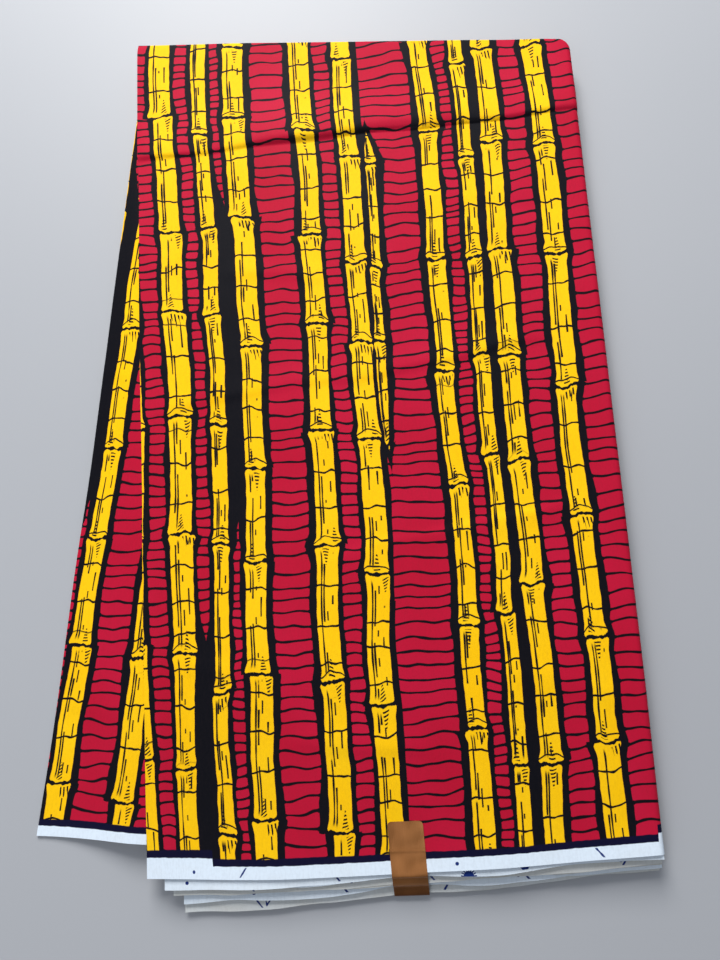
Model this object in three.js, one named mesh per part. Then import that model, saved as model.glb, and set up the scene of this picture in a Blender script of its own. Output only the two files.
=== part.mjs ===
// Folded length of wax print cotton, lying flat on a floor.
//
// The cloth is halved across its width and then folded along its length into sixteen doubled
// leaves. The width folds lie at the far end, the selvedges at the near end, and the length
// folds at the right and left. One leaf is skewed and sticks out at the left as a flap.
// Millimetres, +Z up, +Y towards the width folds and +X towards the right-hand length folds.
// Plan places are measured from a line along the top leaf's near edge, at the middle of its
// width, and the whole is centred over its underside at the end.

import * as THREE from "three";

// Driving dimensions of the top leaf in plan.
const LEAF_HALF_WIDTH = 167;
const LEAF_LENGTH_MIDDLE = 597;
const FAR_EDGE_SLOPE = -0.1;
const FAR_CORNER_RADIUS = 9;
const FAR_CORNER_SPAN = 24;
const FAR_CORNER_PULL = 0.8;

// The near edge bows out towards the viewer, and the left edge leans out at the far end.
const NEAR_EDGE = { left: -3.8, middle: -6.1, right: 0.6 };
const LEFT_LEAN = 2.7;
const LEFT_LEAN_REACH = 120;

// Heights and thicknesses.
const STACK_HEIGHT = 18.4;
const LEAF_WALL = 1.6;
const PLY_WALL = 2.2;
const GAP = 0.3;

// The stack is lower at its free near and left edges, and fuller over the folds.
const NEAR_DROP = 3.2;
const NEAR_DROP_REACH = 130;
const LEFT_DROP = 1.3;
const LEFT_DROP_REACH = 95;
const RIGHT_FULLNESS = 0.7;
const RIGHT_FULLNESS_REACH = 60;
const FAR_FULLNESS = 0.6;
const FAR_FULLNESS_REACH = 70;

// The paper seal pinches the near edge.
const SEAL = { middle: 5, halfWidth: 11.5, tilt: 0.03, topReach: 26, wall: 0.5, tail: 16 };
const PINCH_DEPTH = 1.5;
const PINCH_SPREAD = 30;
const PINCH_REACH = 55;
const PINCH_PULL = 2.2;

// The right fold of the top leaf rolls over the stack's side.
const ROLL_RADIUS = 4.2;
const ROLL_SKIRT = 3.6;
const ROLL_FADE = 34;
const CORNER_SKIRT_SHARE = 0.2;

// The skewed leaf, as corners in plan, and how it droops from the stack's left edge.
const FLAP = {
  nearLeft: [-248.3, 22.4],
  nearInner: [-131, 14.5],
  farLeft: [-162.5, 604],
  farInner: [-143, 601],
  wall: 1.4,
  hingeX: -168.5,
  leastOutside: 4,
  tuckRun: 9,
  droopReach: 74,
  droopPower: 0.75,
};

// The hidden leaves share one solid with a bulge for each folded edge.
const HIDDEN_LEAVES = 14;
const HIDDEN_NEAR_EDGE = 15;
const HIDDEN_INSET = 3.4;
const BULGE = 1.1;
const HIDDEN_CORNER_RADIUS = 12;
const TUCK_INSET = 44;
const TUCK_STEP = 6;
const TUCK_REGION = 60;
const ROOF_INSETS = [TUCK_INSET, TUCK_INSET + TUCK_STEP, 100, 140];

// Creases that cross the top leaf: places in plan, height, and half width of the soft ridge.
const CREASES = [
  { leftY: 520, rightY: 528, fromX: -175, toX: 175, height: 2.2, halfWidth: 10 },
  { leftY: 310, rightY: 350, fromX: -175, toX: 150, height: 0.7, halfWidth: 9 },
  { leftY: 182, rightY: 236, fromX: -60, toX: 175, height: 0.6, halfWidth: 8 },
];

// Selvedge plies that step out at the near end under the top leaf, from the top down:
// ends, how far each edge lies out from the plan's zero line at three places, and its wave.
const SELVEDGE_PLIES = [
  { left: -156, right: 162.5, outLeft: 11.3, outMiddle: 11.2, outRight: 2.8, wave: 1.0, phase: -0.9 },
  { left: -151, right: 164.5, outLeft: 16.2, outMiddle: 15.0, outRight: 7.5, wave: 0.7, phase: 2.0 },
  { left: -145, right: 164.8, outLeft: 22.0, outMiddle: 18.2, outRight: 10.5, wave: 0.8, phase: 4.5 },
  { left: -145, right: 164.8, outLeft: 28.8, outMiddle: 23.4, outRight: 12.4, wave: 0.9, phase: 6.1 },
];
const PLY_FLOOR_GAP = 0.9;
const PLY_SAG = 0.15;
const PLY_RIM_BULGE = 0.4;

// Colours of the cloth's printed face, the white selvedge and the copper paper.
const PRINT_RED = 0xc4172f;
const STALK_YELLOW = 0xf6bd0a;
const LEAF_EDGE_DARK = 0x8f2430;
const SELVEDGE_WHITE = 0xe6e8ec;
const SEAL_COPPER = 0xa8703a;
const CLOTH_ROUGHNESS = 0.75;
const SEAL_ROUGHNESS = 0.38;

const lerp = THREE.MathUtils.lerp;
const smooth = (value) => THREE.MathUtils.smoothstep(value, 0, 1);

const farEdge = (x) => LEAF_LENGTH_MIDDLE + FAR_EDGE_SLOPE * x;

/** Place of the top leaf's near edge at x: a bow through its left, middle and right places. */
function nearEdge(x) {
  const share = (x + LEAF_HALF_WIDTH) / (2 * LEAF_HALF_WIDTH);
  const left = NEAR_EDGE.left * (1 - share) * (1 - 2 * share);
  const right = NEAR_EDGE.right * share * (2 * share - 1);
  return left + 4 * NEAR_EDGE.middle * share * (1 - share) + right;
}

/** Height of the top leaf's upper face, without its creases. */
function stackTop(x, y) {
  const near = NEAR_DROP * (1 - smooth(y / NEAR_DROP_REACH));
  const left = LEFT_DROP * (1 - smooth((x + LEAF_HALF_WIDTH) / LEFT_DROP_REACH));
  const right = RIGHT_FULLNESS * smooth(1 - (LEAF_HALF_WIDTH - x) / RIGHT_FULLNESS_REACH);
  const far = FAR_FULLNESS * smooth(1 - (farEdge(x) - y) / FAR_FULLNESS_REACH);
  const pinch = PINCH_DEPTH * Math.exp(-(((x - SEAL.middle) / PINCH_SPREAD) ** 2))
    * (1 - smooth(Math.max(y, 0) / PINCH_REACH));
  return STACK_HEIGHT - near - left + right + far - pinch;
}

/** Height that the creases add at a place on the top leaf. */
function creaseHeight(x, y) {
  let height = 0;
  for (const crease of CREASES) {
    const middle = lerp(crease.leftY, crease.rightY, (x + LEAF_HALF_WIDTH) / (2 * LEAF_HALF_WIDTH));
    const fadeIn = smooth((x - crease.fromX) / 40);
    const fadeOut = smooth((crease.toX - x) / 40);
    const across = Math.exp(-(((y - middle) / crease.halfWidth) ** 2));
    height += crease.height * fadeIn * fadeOut * across;
  }
  return height;
}

/** Builds one closed body from rows of points that share a count, each row a closed ring. */
function bodyFromRings(rings, bottomMiddle, topMiddle) {
  const count = rings[0].length;
  const positions = rings.flat().flatMap((point) => point.toArray());
  const indices = [];
  for (let row = 0; row + 1 < rings.length; row += 1) {
    for (let i = 0; i < count; i += 1) {
      const next = (i + 1) % count;
      const a = row * count + i;
      const b = row * count + next;
      indices.push(a, b, b + count, a, b + count, a + count);
    }
  }
  const bottom = positions.length / 3;
  positions.push(...bottomMiddle.toArray(), ...topMiddle.toArray());
  const last = (rings.length - 1) * count;
  for (let i = 0; i < count; i += 1) {
    const next = (i + 1) % count;
    indices.push(bottom, next, i);
    indices.push(bottom + 1, last + i, last + next);
  }
  return geometryFrom(positions, indices);
}

function geometryFrom(positions, indices) {
  const geometry = new THREE.BufferGeometry();
  geometry.setAttribute("position", new THREE.Float32BufferAttribute(positions, 3));
  geometry.setIndex(indices);
  geometry.computeVertexNormals();
  return geometry;
}

/**
 * Builds a sheet as one closed wall. upper(u, v) gives its upper face, with u to the right and
 * v away from the near edge, and the wall goes down from there. The rim swells out by rimBulge.
 */
function sheetWall({ upper, across, along, wall, rimBulge, flatBelow = -Infinity }) {
  const step = 1e-3;
  const tangent = (u, v, du, dv) => {
    const ahead = upper(Math.min(u + du, 1), Math.min(v + dv, 1));
    const behind = upper(Math.max(u - du, 0), Math.max(v - dv, 0));
    return ahead.sub(behind).normalize();
  };
  const normalAt = (u, v) => tangent(u, v, step, 0).cross(tangent(u, v, 0, step)).normalize();
  const positions = [];
  const add = (point) => {
    positions.push(point.x, point.y, point.z);
    return positions.length / 3 - 1;
  };
  const top = [];
  const under = [];
  for (let j = 0; j <= along; j += 1) {
    top.push([]);
    under.push([]);
    for (let i = 0; i <= across; i += 1) {
      const face = upper(i / across, j / along);
      const lower = face.clone().addScaledVector(normalAt(i / across, j / along), -wall);
      lower.z = Math.max(lower.z, flatBelow);
      top[j].push(add(face));
      under[j].push(add(lower));
    }
  }
  const indices = [];
  for (let j = 0; j < along; j += 1) {
    for (let i = 0; i < across; i += 1) {
      const [a, b, c, d] = [top[j][i], top[j][i + 1], top[j + 1][i + 1], top[j + 1][i]];
      indices.push(a, b, c, a, c, d);
      const [e, f, g, h] = [under[j][i], under[j][i + 1], under[j + 1][i + 1], under[j + 1][i]];
      indices.push(e, g, f, e, h, g);
    }
  }
  const rim = [];
  for (let i = 0; i < across; i += 1) rim.push([0, i, 0, -1]);
  for (let j = 0; j < along; j += 1) rim.push([j, across, 1, 0]);
  for (let i = across; i > 0; i -= 1) rim.push([along, i, 0, 1]);
  for (let j = along; j > 0; j -= 1) rim.push([j, 0, -1, 0]);
  const middles = rim.map(([j, i, du, dv]) => {
    const u = i / across;
    const v = j / along;
    const out = tangent(u, v, Math.abs(du) * step, Math.abs(dv) * step).multiplyScalar(du + dv);
    const face = new THREE.Vector3().fromArray(positions, 3 * top[j][i]);
    const lower = new THREE.Vector3().fromArray(positions, 3 * under[j][i]);
    return add(face.add(lower).multiplyScalar(0.5).addScaledVector(out, rimBulge));
  });
  for (let k = 0; k < rim.length; k += 1) {
    const next = (k + 1) % rim.length;
    const [j, i] = rim[k];
    const [jn, inext] = rim[next];
    const [topA, topB, midA, midB] = [top[j][i], top[jn][inext], middles[k], middles[next]];
    const [lowA, lowB] = [under[j][i], under[jn][inext]];
    indices.push(topA, midA, midB, topA, midB, topB);
    indices.push(midA, lowA, lowB, midA, lowB, midB);
  }
  return geometryFrom(positions, indices);
}

/** The top leaf: flat over the stack, with the right fold rolled down over the side. */
function topLeafGeometry() {
  const quarter = (Math.PI / 2) * ROLL_RADIUS;
  const flatWidth = 2 * LEAF_HALF_WIDTH - ROLL_RADIUS;
  const wholeWidth = flatWidth + quarter + ROLL_SKIRT;
  const upper = (u, v) => {
    // Columns are closer together on the roll, which takes the last quarter of u.
    const rollStart = 0.75;
    const distance = u < rollStart
      ? (flatWidth * u) / rollStart
      : lerp(flatWidth, wholeWidth, (u - rollStart) / (1 - rollStart));
    const flatX = Math.min(distance, flatWidth) - LEAF_HALF_WIDTH;
    const far = farEdge(flatX);
    const y = lerp(nearEdge(flatX), far, v);
    const fade = smooth((far - y) / ROLL_FADE);
    const past = Math.max(distance - flatWidth, 0);
    const turn = Math.min(past / ROLL_RADIUS, Math.PI / 2);
    const skirt = Math.max(past - quarter, 0);
    const corner = FAR_CORNER_RADIUS * (1 - Math.sqrt(1 - Math.min(1, Math.max(0,
      1 - (far - y) / FAR_CORNER_RADIUS)) ** 2));
    const leftShare = 1 - smooth((flatX + LEAF_HALF_WIDTH) / LEFT_LEAN_REACH);
    const lean = (LEFT_LEAN * leftShare * y) / LEAF_LENGTH_MIDDLE;
    const nearRight = smooth(1 - (LEAF_HALF_WIDTH - flatX) / FAR_CORNER_SPAN);
    const x = flatX + ROLL_RADIUS * Math.sin(turn) - FAR_CORNER_PULL * corner * nearRight - lean;
    const drop = ROLL_RADIUS * (1 - Math.cos(turn)) + lerp(CORNER_SKIRT_SHARE, 1, fade) * skirt;
    const z = stackTop(flatX, y) + creaseHeight(flatX, y) - drop;
    return new THREE.Vector3(x, y, z);
  };
  return sheetWall({ upper, across: 24, along: 36, wall: LEAF_WALL, rimBulge: 0.7 });
}

/** The skewed leaf: tucked under the top leaf, and drooping to the floor at its near corner. */
function flapGeometry() {
  const columns = 13;
  const tuckedColumns = 4;
  const outsideShare = 1 - tuckedColumns / columns;
  const upper = (u, v) => {
    const leftX = lerp(FLAP.nearLeft[0], FLAP.farLeft[0], v);
    const innerX = lerp(FLAP.nearInner[0], FLAP.farInner[0], v);
    const hingeX = Math.max(FLAP.hingeX, leftX + FLAP.leastOutside);
    const x = u < outsideShare
      ? lerp(leftX, hingeX, u / outsideShare)
      : lerp(hingeX, innerX, (u - outsideShare) / (1 - outsideShare));
    const share = (x - leftX) / (innerX - leftX);
    const leftY = lerp(FLAP.nearLeft[1], FLAP.farLeft[1], v);
    const innerY = lerp(FLAP.nearInner[1], FLAP.farInner[1], v);
    const line = lerp(leftY, innerY, share);
    const clearOfPlies = smooth((x - FLAP.hingeX) / FLAP.tuckRun) * (1 - v);
    const y = lerp(line, Math.max(line, HIDDEN_NEAR_EDGE + GAP), clearOfPlies);
    const out = Math.min(1, Math.max(0, FLAP.hingeX - x) / FLAP.droopReach);
    const tucked = stackTop(Math.max(x, -LEAF_HALF_WIDTH), y) - LEAF_WALL - GAP;
    const droop = (tucked - FLAP.wall) * smooth(out ** FLAP.droopPower);
    return new THREE.Vector3(x, y, tucked - droop);
  };
  return sheetWall({ upper, across: columns, along: 22, wall: FLAP.wall, rimBulge: 0.5, flatBelow: 0 });
}

/** Outline of the hidden leaves in plan: a quadrilateral with round corners, anticlockwise. */
function hiddenOutline() {
  const corners = [
    [-LEAF_HALF_WIDTH + HIDDEN_INSET, HIDDEN_NEAR_EDGE],
    [LEAF_HALF_WIDTH - HIDDEN_INSET, HIDDEN_NEAR_EDGE],
    [LEAF_HALF_WIDTH - HIDDEN_INSET, farEdge(LEAF_HALF_WIDTH) - HIDDEN_INSET],
    [-LEAF_HALF_WIDTH + HIDDEN_INSET, farEdge(-LEAF_HALF_WIDTH) - HIDDEN_INSET],
  ];
  const radius = [2, 2, HIDDEN_CORNER_RADIUS, HIDDEN_CORNER_RADIUS];
  const sideSteps = [9, 18, 9, 18];
  const cornerSteps = 3;
  const points = [];
  corners.forEach((corner, k) => {
    const at = new THREE.Vector2(...corner);
    const before = new THREE.Vector2(...corners[(k + 3) % 4]).sub(at).normalize();
    const after = new THREE.Vector2(...corners[(k + 1) % 4]).sub(at).normalize();
    const start = at.clone().addScaledVector(before, radius[k]);
    const end = at.clone().addScaledVector(after, radius[k]);
    const arc = new THREE.QuadraticBezierCurve(start, at, end);
    points.push(...arc.getPoints(cornerSteps));
    const nextAt = new THREE.Vector2(...corners[(k + 1) % 4]);
    const nextStart = nextAt.clone().addScaledVector(after, -radius[(k + 1) % 4]);
    for (let s = 1; s < sideSteps[k]; s += 1) points.push(end.clone().lerp(nextStart, s / sideSteps[k]));
  });
  return points;
}

/** How far leaf number k stands out on a side, from a slow wave that differs leaf by leaf. */
function leafReach(k, point) {
  const alongEdge = point.x * 0.013 + point.y * 0.0085;
  return 0.55 * Math.sin(2.4 * k + alongEdge) + 0.45 * Math.sin(1.1 * k * k + 1.7 * alongEdge);
}

/** The hidden leaves: one solid with a rounded bulge for each leaf on the fold sides. */
function hiddenLeavesGeometry() {
  const outline = hiddenOutline();
  const middle = new THREE.Vector2(0, LEAF_LENGTH_MIDDLE / 2);
  const normals = outline.map((point, i) => {
    const next = outline[(i + 1) % outline.length];
    const last = outline[(i + outline.length - 1) % outline.length];
    const edge = next.clone().sub(last).normalize();
    return new THREE.Vector2(edge.y, -edge.x);
  });
  const isNearSide = (point) => point.y < HIDDEN_NEAR_EDGE + 3;
  const underFlap = (point) => point.x < -TUCK_REGION;
  const roof = (point, inset) => {
    const lowered = underFlap(point) && inset <= TUCK_INSET ? FLAP.wall + GAP : 0;
    return stackTop(point.x, point.y) - LEAF_WALL - 2 * GAP - lowered;
  };
  const ring = (offset, height) => outline.map((point, i) => {
    const at = point.clone().addScaledVector(normals[i], offset(point));
    return new THREE.Vector3(at.x, at.y, height(point));
  });
  const rings = [];
  for (let k = 0; k < HIDDEN_LEAVES; k += 1) {
    const reach = (point) => (isNearSide(point) ? 0 : leafReach(k, point) - 0.4);
    const swell = (point) => (isNearSide(point) ? 0 : BULGE);
    const level = (part) => (point) => (roof(point, 0) * (k + part)) / HIDDEN_LEAVES;
    rings.push(ring((point) => reach(point) - swell(point), level(0)));
    rings.push(ring((point) => reach(point), level(0.5)));
  }
  rings.push(ring((point) => (isNearSide(point) ? 0 : -BULGE), (point) => roof(point, 0)));
  for (const inset of ROOF_INSETS) {
    const scale = new THREE.Vector2(
      1 - inset / (LEAF_HALF_WIDTH - HIDDEN_INSET),
      1 - inset / (LEAF_LENGTH_MIDDLE / 2),
    );
    rings.push(outline.map((point) => {
      const at = point.clone().sub(middle).multiply(scale).add(middle);
      return new THREE.Vector3(at.x, at.y, roof(at, inset));
    }));
  }
  const bottomMiddle = new THREE.Vector3(middle.x, middle.y, 0);
  const roofMiddle = new THREE.Vector3(middle.x, middle.y, roof(middle, LEAF_HALF_WIDTH));
  return bodyFromRings(rings, bottomMiddle, roofMiddle);
}

/** How far selvedge ply number k lies out from the plan's zero line at x. */
function plyOut(k, x) {
  const ply = SELVEDGE_PLIES[k];
  const share = (x - ply.left) / (ply.right - ply.left);
  const curve = share < 0.5
    ? lerp(ply.outLeft, ply.outMiddle, share * 2)
    : lerp(ply.outMiddle, ply.outRight, share * 2 - 1);
  const ends = smooth(share * 6) * smooth((1 - share) * 6);
  const wave = ply.wave * Math.sin(x * 0.045 + ply.phase) * ends;
  const pinch = PINCH_PULL * Math.exp(-(((x - SEAL.middle) / PINCH_SPREAD) ** 2));
  return curve + wave - pinch;
}

/** Height of the upper face of selvedge ply number k at x. */
function plyTop(k, x) {
  const room = stackTop(x, 0) - LEAF_WALL - GAP - PLY_FLOOR_GAP;
  return PLY_FLOOR_GAP + (room * (SELVEDGE_PLIES.length - k)) / SELVEDGE_PLIES.length;
}

/** A white selvedge edge of the lower leaves, as one ply that sags a little at its edge. */
function selvedgeGeometry(k) {
  const ply = SELVEDGE_PLIES[k];
  const root = HIDDEN_NEAR_EDGE - GAP - PLY_RIM_BULGE;
  const upper = (u, v) => {
    const x = lerp(ply.left, ply.right, u);
    const y = lerp(-plyOut(k, x), root, v);
    return new THREE.Vector3(x, y, plyTop(k, x) - PLY_SAG * (1 - smooth(v * 1.6)));
  };
  return sheetWall({ upper, across: 30, along: 3, wall: PLY_WALL, rimBulge: PLY_RIM_BULGE });
}

/** The paper seal: over the top leaf, down the stepped edges, and a short way under them. */
function sealGeometry() {
  const lift = 0.45 + SEAL.wall;
  const last = SELVEDGE_PLIES.length - 1;
  const section = (x) => {
    const points = [1, 0.66, 0.33, 0.06].map((share) => {
      const y = SEAL.topReach * share;
      return new THREE.Vector2(y, stackTop(x, y) + lift);
    });
    points.push(new THREE.Vector2(nearEdge(x) - 1.2, stackTop(x, 0) + 0.5));
    for (let k = 0; k <= last; k += 1) {
      points.push(new THREE.Vector2(-plyOut(k, x) - 1.0, plyTop(k, x) + 0.75));
    }
    const front = -plyOut(last, x);
    points.push(new THREE.Vector2(front - 1.5, plyTop(last, x) - 1.2));
    points.push(new THREE.Vector2(front - 1.0, 0.35));
    points.push(new THREE.Vector2(front + 0.8, 0));
    points.push(new THREE.Vector2(front + SEAL.tail, 0));
    return new THREE.SplineCurve(points);
  };
  const upper = (u, v) => {
    const level = SEAL.middle + SEAL.halfWidth * (2 * u - 1);
    const at = section(level).getPoint(1 - v);
    return new THREE.Vector3(level - SEAL.tilt * at.x, at.x, Math.max(at.y, 0));
  };
  return sheetWall({ upper, across: 4, along: 36, wall: SEAL.wall, rimBulge: 0.05, flatBelow: 0 });
}

function clothMaterial(colour) {
  return new THREE.MeshStandardMaterial({ color: colour, roughness: CLOTH_ROUGHNESS, metalness: 0 });
}

function namedMesh(name, geometry, material) {
  const mesh = new THREE.Mesh(geometry, material);
  mesh.name = name;
  return mesh;
}

function foldedCloth() {
  const group = new THREE.Group();
  group.add(namedMesh("top_leaf", topLeafGeometry(), clothMaterial(PRINT_RED)));
  group.add(namedMesh("side_flap", flapGeometry(), clothMaterial(STALK_YELLOW)));
  group.add(namedMesh("hidden_leaves", hiddenLeavesGeometry(), clothMaterial(LEAF_EDGE_DARK)));
  SELVEDGE_PLIES.forEach((_, i) => {
    group.add(namedMesh(`selvedge_ply_${i + 1}`, selvedgeGeometry(i), clothMaterial(SELVEDGE_WHITE)));
  });
  const copper = new THREE.MeshStandardMaterial({
    color: SEAL_COPPER,
    roughness: SEAL_ROUGHNESS,
    metalness: 0.5,
  });
  group.add(namedMesh("seal_label", sealGeometry(), copper));
  return group;
}

/** Centres the cloth over the origin, with its underside on the floor. */
function centred(group) {
  group.updateMatrixWorld(true);
  const box = new THREE.Box3().setFromObject(group, true);
  group.position.set(-(box.min.x + box.max.x) / 2, -(box.min.y + box.max.y) / 2, -box.min.z);
  const root = new THREE.Group();
  root.add(group);
  return root;
}

export default centred(foldedCloth());
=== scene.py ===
"""Looks of a folded length of wax print cotton: its leaves, selvedge edges and paper seal.

Plan places and sizes are in millimetres from a line along the top leaf's near edge, at the
middle of its width, with x to the right, y towards the width folds and z up from the floor.
They become metres in the frame when a sheet is made.
"""

import logging
import math
from dataclasses import dataclass
from enum import Enum
from typing import Callable, Sequence

import bpy
import numpy as np
from mathutils import Matrix, Vector

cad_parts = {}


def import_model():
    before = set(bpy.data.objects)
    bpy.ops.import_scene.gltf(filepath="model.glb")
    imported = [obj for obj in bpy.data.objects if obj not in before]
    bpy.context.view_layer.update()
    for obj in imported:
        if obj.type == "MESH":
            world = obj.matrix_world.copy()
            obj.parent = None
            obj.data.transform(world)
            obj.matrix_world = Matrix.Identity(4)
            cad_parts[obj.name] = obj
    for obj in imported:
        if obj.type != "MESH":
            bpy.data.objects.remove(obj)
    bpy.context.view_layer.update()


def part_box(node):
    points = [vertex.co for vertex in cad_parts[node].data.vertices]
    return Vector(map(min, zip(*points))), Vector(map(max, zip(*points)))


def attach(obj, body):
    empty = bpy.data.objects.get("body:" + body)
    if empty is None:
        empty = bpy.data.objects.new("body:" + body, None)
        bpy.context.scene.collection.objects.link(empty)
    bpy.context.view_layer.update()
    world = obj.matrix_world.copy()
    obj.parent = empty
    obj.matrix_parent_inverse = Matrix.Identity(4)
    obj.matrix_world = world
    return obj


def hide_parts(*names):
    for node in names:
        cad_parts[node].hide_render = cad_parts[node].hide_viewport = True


LOG = logging.getLogger("wax_print")
MM = 0.001
CLOTH_MAP = "cloth"
# Name of the point attribute that holds each ply's painted shade, from 0 for lit white to 1 for shaded
# white.
PLY_SHADE = "ply_shade"


def smooth(share: np.ndarray) -> np.ndarray:
    """Eases a share from 0 to 1, held at both ends.

    Args:
        share: Numbers that may lie outside 0 to 1.

    Returns:
        The eased numbers.
    """
    held = np.clip(share, 0.0, 1.0)
    return held * held * (3.0 - 2.0 * held)


def mix(start: np.ndarray, end: np.ndarray, share: np.ndarray) -> np.ndarray:
    """Goes in a straight line from start to end.

    Args:
        start: Value at share 0.
        end: Value at share 1.
        share: Place between them.

    Returns:
        The value at that place.
    """
    return start + (end - start) * share


def waver(x: np.ndarray, y: np.ndarray, length: float, seed: float) -> np.ndarray:
    """An uneven slow wave over the plan, from about -1 to 1.

    Args:
        x: Plan places across.
        y: Plan places along.
        length: Typical distance between crests.
        seed: Shifts the wave, so that sheets differ.

    Returns:
        The wave's height at each place.
    """
    k = 2.0 * math.pi / length
    first = np.sin(k * (0.83 * x + 0.41 * y) + 1.7 * seed)
    second = np.sin(k * (-0.37 * x + 0.71 * y) * 1.37 + 3.1 * seed + 0.6 * first)
    third = np.sin(k * (0.19 * x - 1.13 * y) * 0.77 + 5.3 * seed)
    return (first + second + third) / 3.0


@dataclass(frozen=True)
class Stack:
    """Plan and heights of the folded stack."""

    half_width: float = 167.0
    length_middle: float = 597.0
    far_slope: float = -0.1
    near_left: float = -3.8
    near_middle: float = -6.1
    near_right: float = 0.6
    left_lean: float = 2.7
    left_lean_reach: float = 120.0
    height: float = 18.4
    near_drop: float = 3.2
    near_drop_reach: float = 130.0
    left_drop: float = 1.3
    left_drop_reach: float = 95.0
    right_fullness: float = 0.7
    right_fullness_reach: float = 60.0
    far_fullness: float = 0.6
    far_fullness_reach: float = 70.0
    seal_middle: float = 5.0
    pinch_depth: float = 1.5
    pinch_spread: float = 30.0
    pinch_reach: float = 55.0
    leaf_wall: float = 1.6
    gap: float = 0.3
    flap_wall: float = 1.4
    floor_gap: float = 0.9

    def far_edge(self, x: np.ndarray) -> np.ndarray:
        """Place of the width fold at x."""
        return self.length_middle + self.far_slope * x

    def near_edge(self, x: np.ndarray) -> np.ndarray:
        """Place of the top leaf's near edge at x, a bow through three places."""
        share = (x + self.half_width) / (2.0 * self.half_width)
        left = self.near_left * (1.0 - share) * (1.0 - 2.0 * share)
        right = self.near_right * share * (2.0 * share - 1.0)
        return left + 4.0 * self.near_middle * share * (1.0 - share) + right

    def lean(self, x: np.ndarray, y: np.ndarray) -> np.ndarray:
        """How far the top leaf's left part leans out to the left."""
        left = 1.0 - smooth((x + self.half_width) / self.left_lean_reach)
        return self.left_lean * left * y / self.length_middle

    def pinch(self, x: np.ndarray) -> np.ndarray:
        """Share of the seal's pinch that is felt at x."""
        return np.exp(-(((x - self.seal_middle) / self.pinch_spread) ** 2))

    def top(self, x: np.ndarray, y: np.ndarray) -> np.ndarray:
        """Height of the top leaf's upper face, without its creases.

        Args:
            x: Plan places across.
            y: Plan places along.

        Returns:
            Heights above the floor.
        """
        near = self.near_drop * (1.0 - smooth(y / self.near_drop_reach))
        left = self.left_drop * (1.0 - smooth((x + self.half_width) / self.left_drop_reach))
        right = self.right_fullness * smooth(1.0 - (self.half_width - x) / self.right_fullness_reach)
        far = self.far_fullness * smooth(1.0 - (self.far_edge(x) - y) / self.far_fullness_reach)
        reach = 1.0 - smooth(np.maximum(y, 0.0) / self.pinch_reach)
        return self.height - near - left + right + far - self.pinch_depth * self.pinch(x) * reach


@dataclass(frozen=True)
class Crease:
    """One soft ridge or trough that crosses a sheet, steeper on its near side."""

    start: tuple[float, float]
    end: tuple[float, float]
    height: float
    far_width: float
    near_width: float
    wobble: float = 1.5
    fade: float = 0.25
    sharp_foot: bool = False

    def at(self, x: np.ndarray, y: np.ndarray) -> np.ndarray:
        """Height that this crease adds at each place.

        Args:
            x: Plan places across.
            y: Plan places along.

        Returns:
            Heights, below zero for a trough.
        """
        start = np.array(self.start)
        run = np.array(self.end) - start
        length = float(np.hypot(*run))
        along = ((x - start[0]) * run[0] + (y - start[1]) * run[1]) / length**2
        side = ((y - start[1]) * run[0] - (x - start[0]) * run[1]) / length
        side = side + self.wobble * np.sin(along * length * 0.031 + self.start[0])
        side = side + 0.4 * self.wobble * np.sin(along * length * 0.083 + self.end[1])
        far = np.exp(-((side / self.far_width) ** 2))
        near = np.exp(-((side / self.near_width) ** 2))
        if self.sharp_foot:
            near = np.clip(1.0 - (side / self.near_width) ** 2, 0.0, 1.0)
        fade = smooth(along / self.fade) * smooth((1.0 - along) / self.fade)
        uneven = 0.75 + 0.25 * np.sin(along * length * 0.021 + self.start[1])
        return self.height * fade * uneven * np.where(side > 0.0, far, near)


@dataclass(frozen=True)
class Sheet:
    """Where a sheet's points lie, and which spot of the cloth each one is."""

    places: np.ndarray
    cloth: np.ndarray
    # Painted shade of the sheet's white selvedge, from 0 to 1.
    tone: float = 0.0


@dataclass(frozen=True)
class Placing:
    """Where the plan's zero lies in the frame, in metres."""

    x: float
    y: float

    @classmethod
    def from_frame(cls, stack: Stack) -> "Placing":
        """Reads the place from the right side and the far left corner of the top leaf's solid.

        Args:
            stack: Sizes of the stack.

        Returns:
            The placing.
        """
        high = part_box("top_leaf")[1]
        far_left = stack.length_middle - stack.far_slope * stack.half_width
        return cls(x=high.x - stack.half_width * MM, y=high.y - far_left * MM)

    def to_frame(self, places: np.ndarray) -> np.ndarray:
        """Turns plan millimetres into frame metres."""
        return places * MM + np.array([self.x, self.y, 0.0])


def deselect_all() -> None:
    """Leaves nothing selected, so that an operator acts on the next piece alone."""
    bpy.ops.object.select_all(action="DESELECT")


def make_active(piece: bpy.types.Object) -> None:
    """Selects one piece and makes it the active one."""
    deselect_all()
    piece.select_set(True)
    bpy.context.view_layer.objects.active = piece


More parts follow.
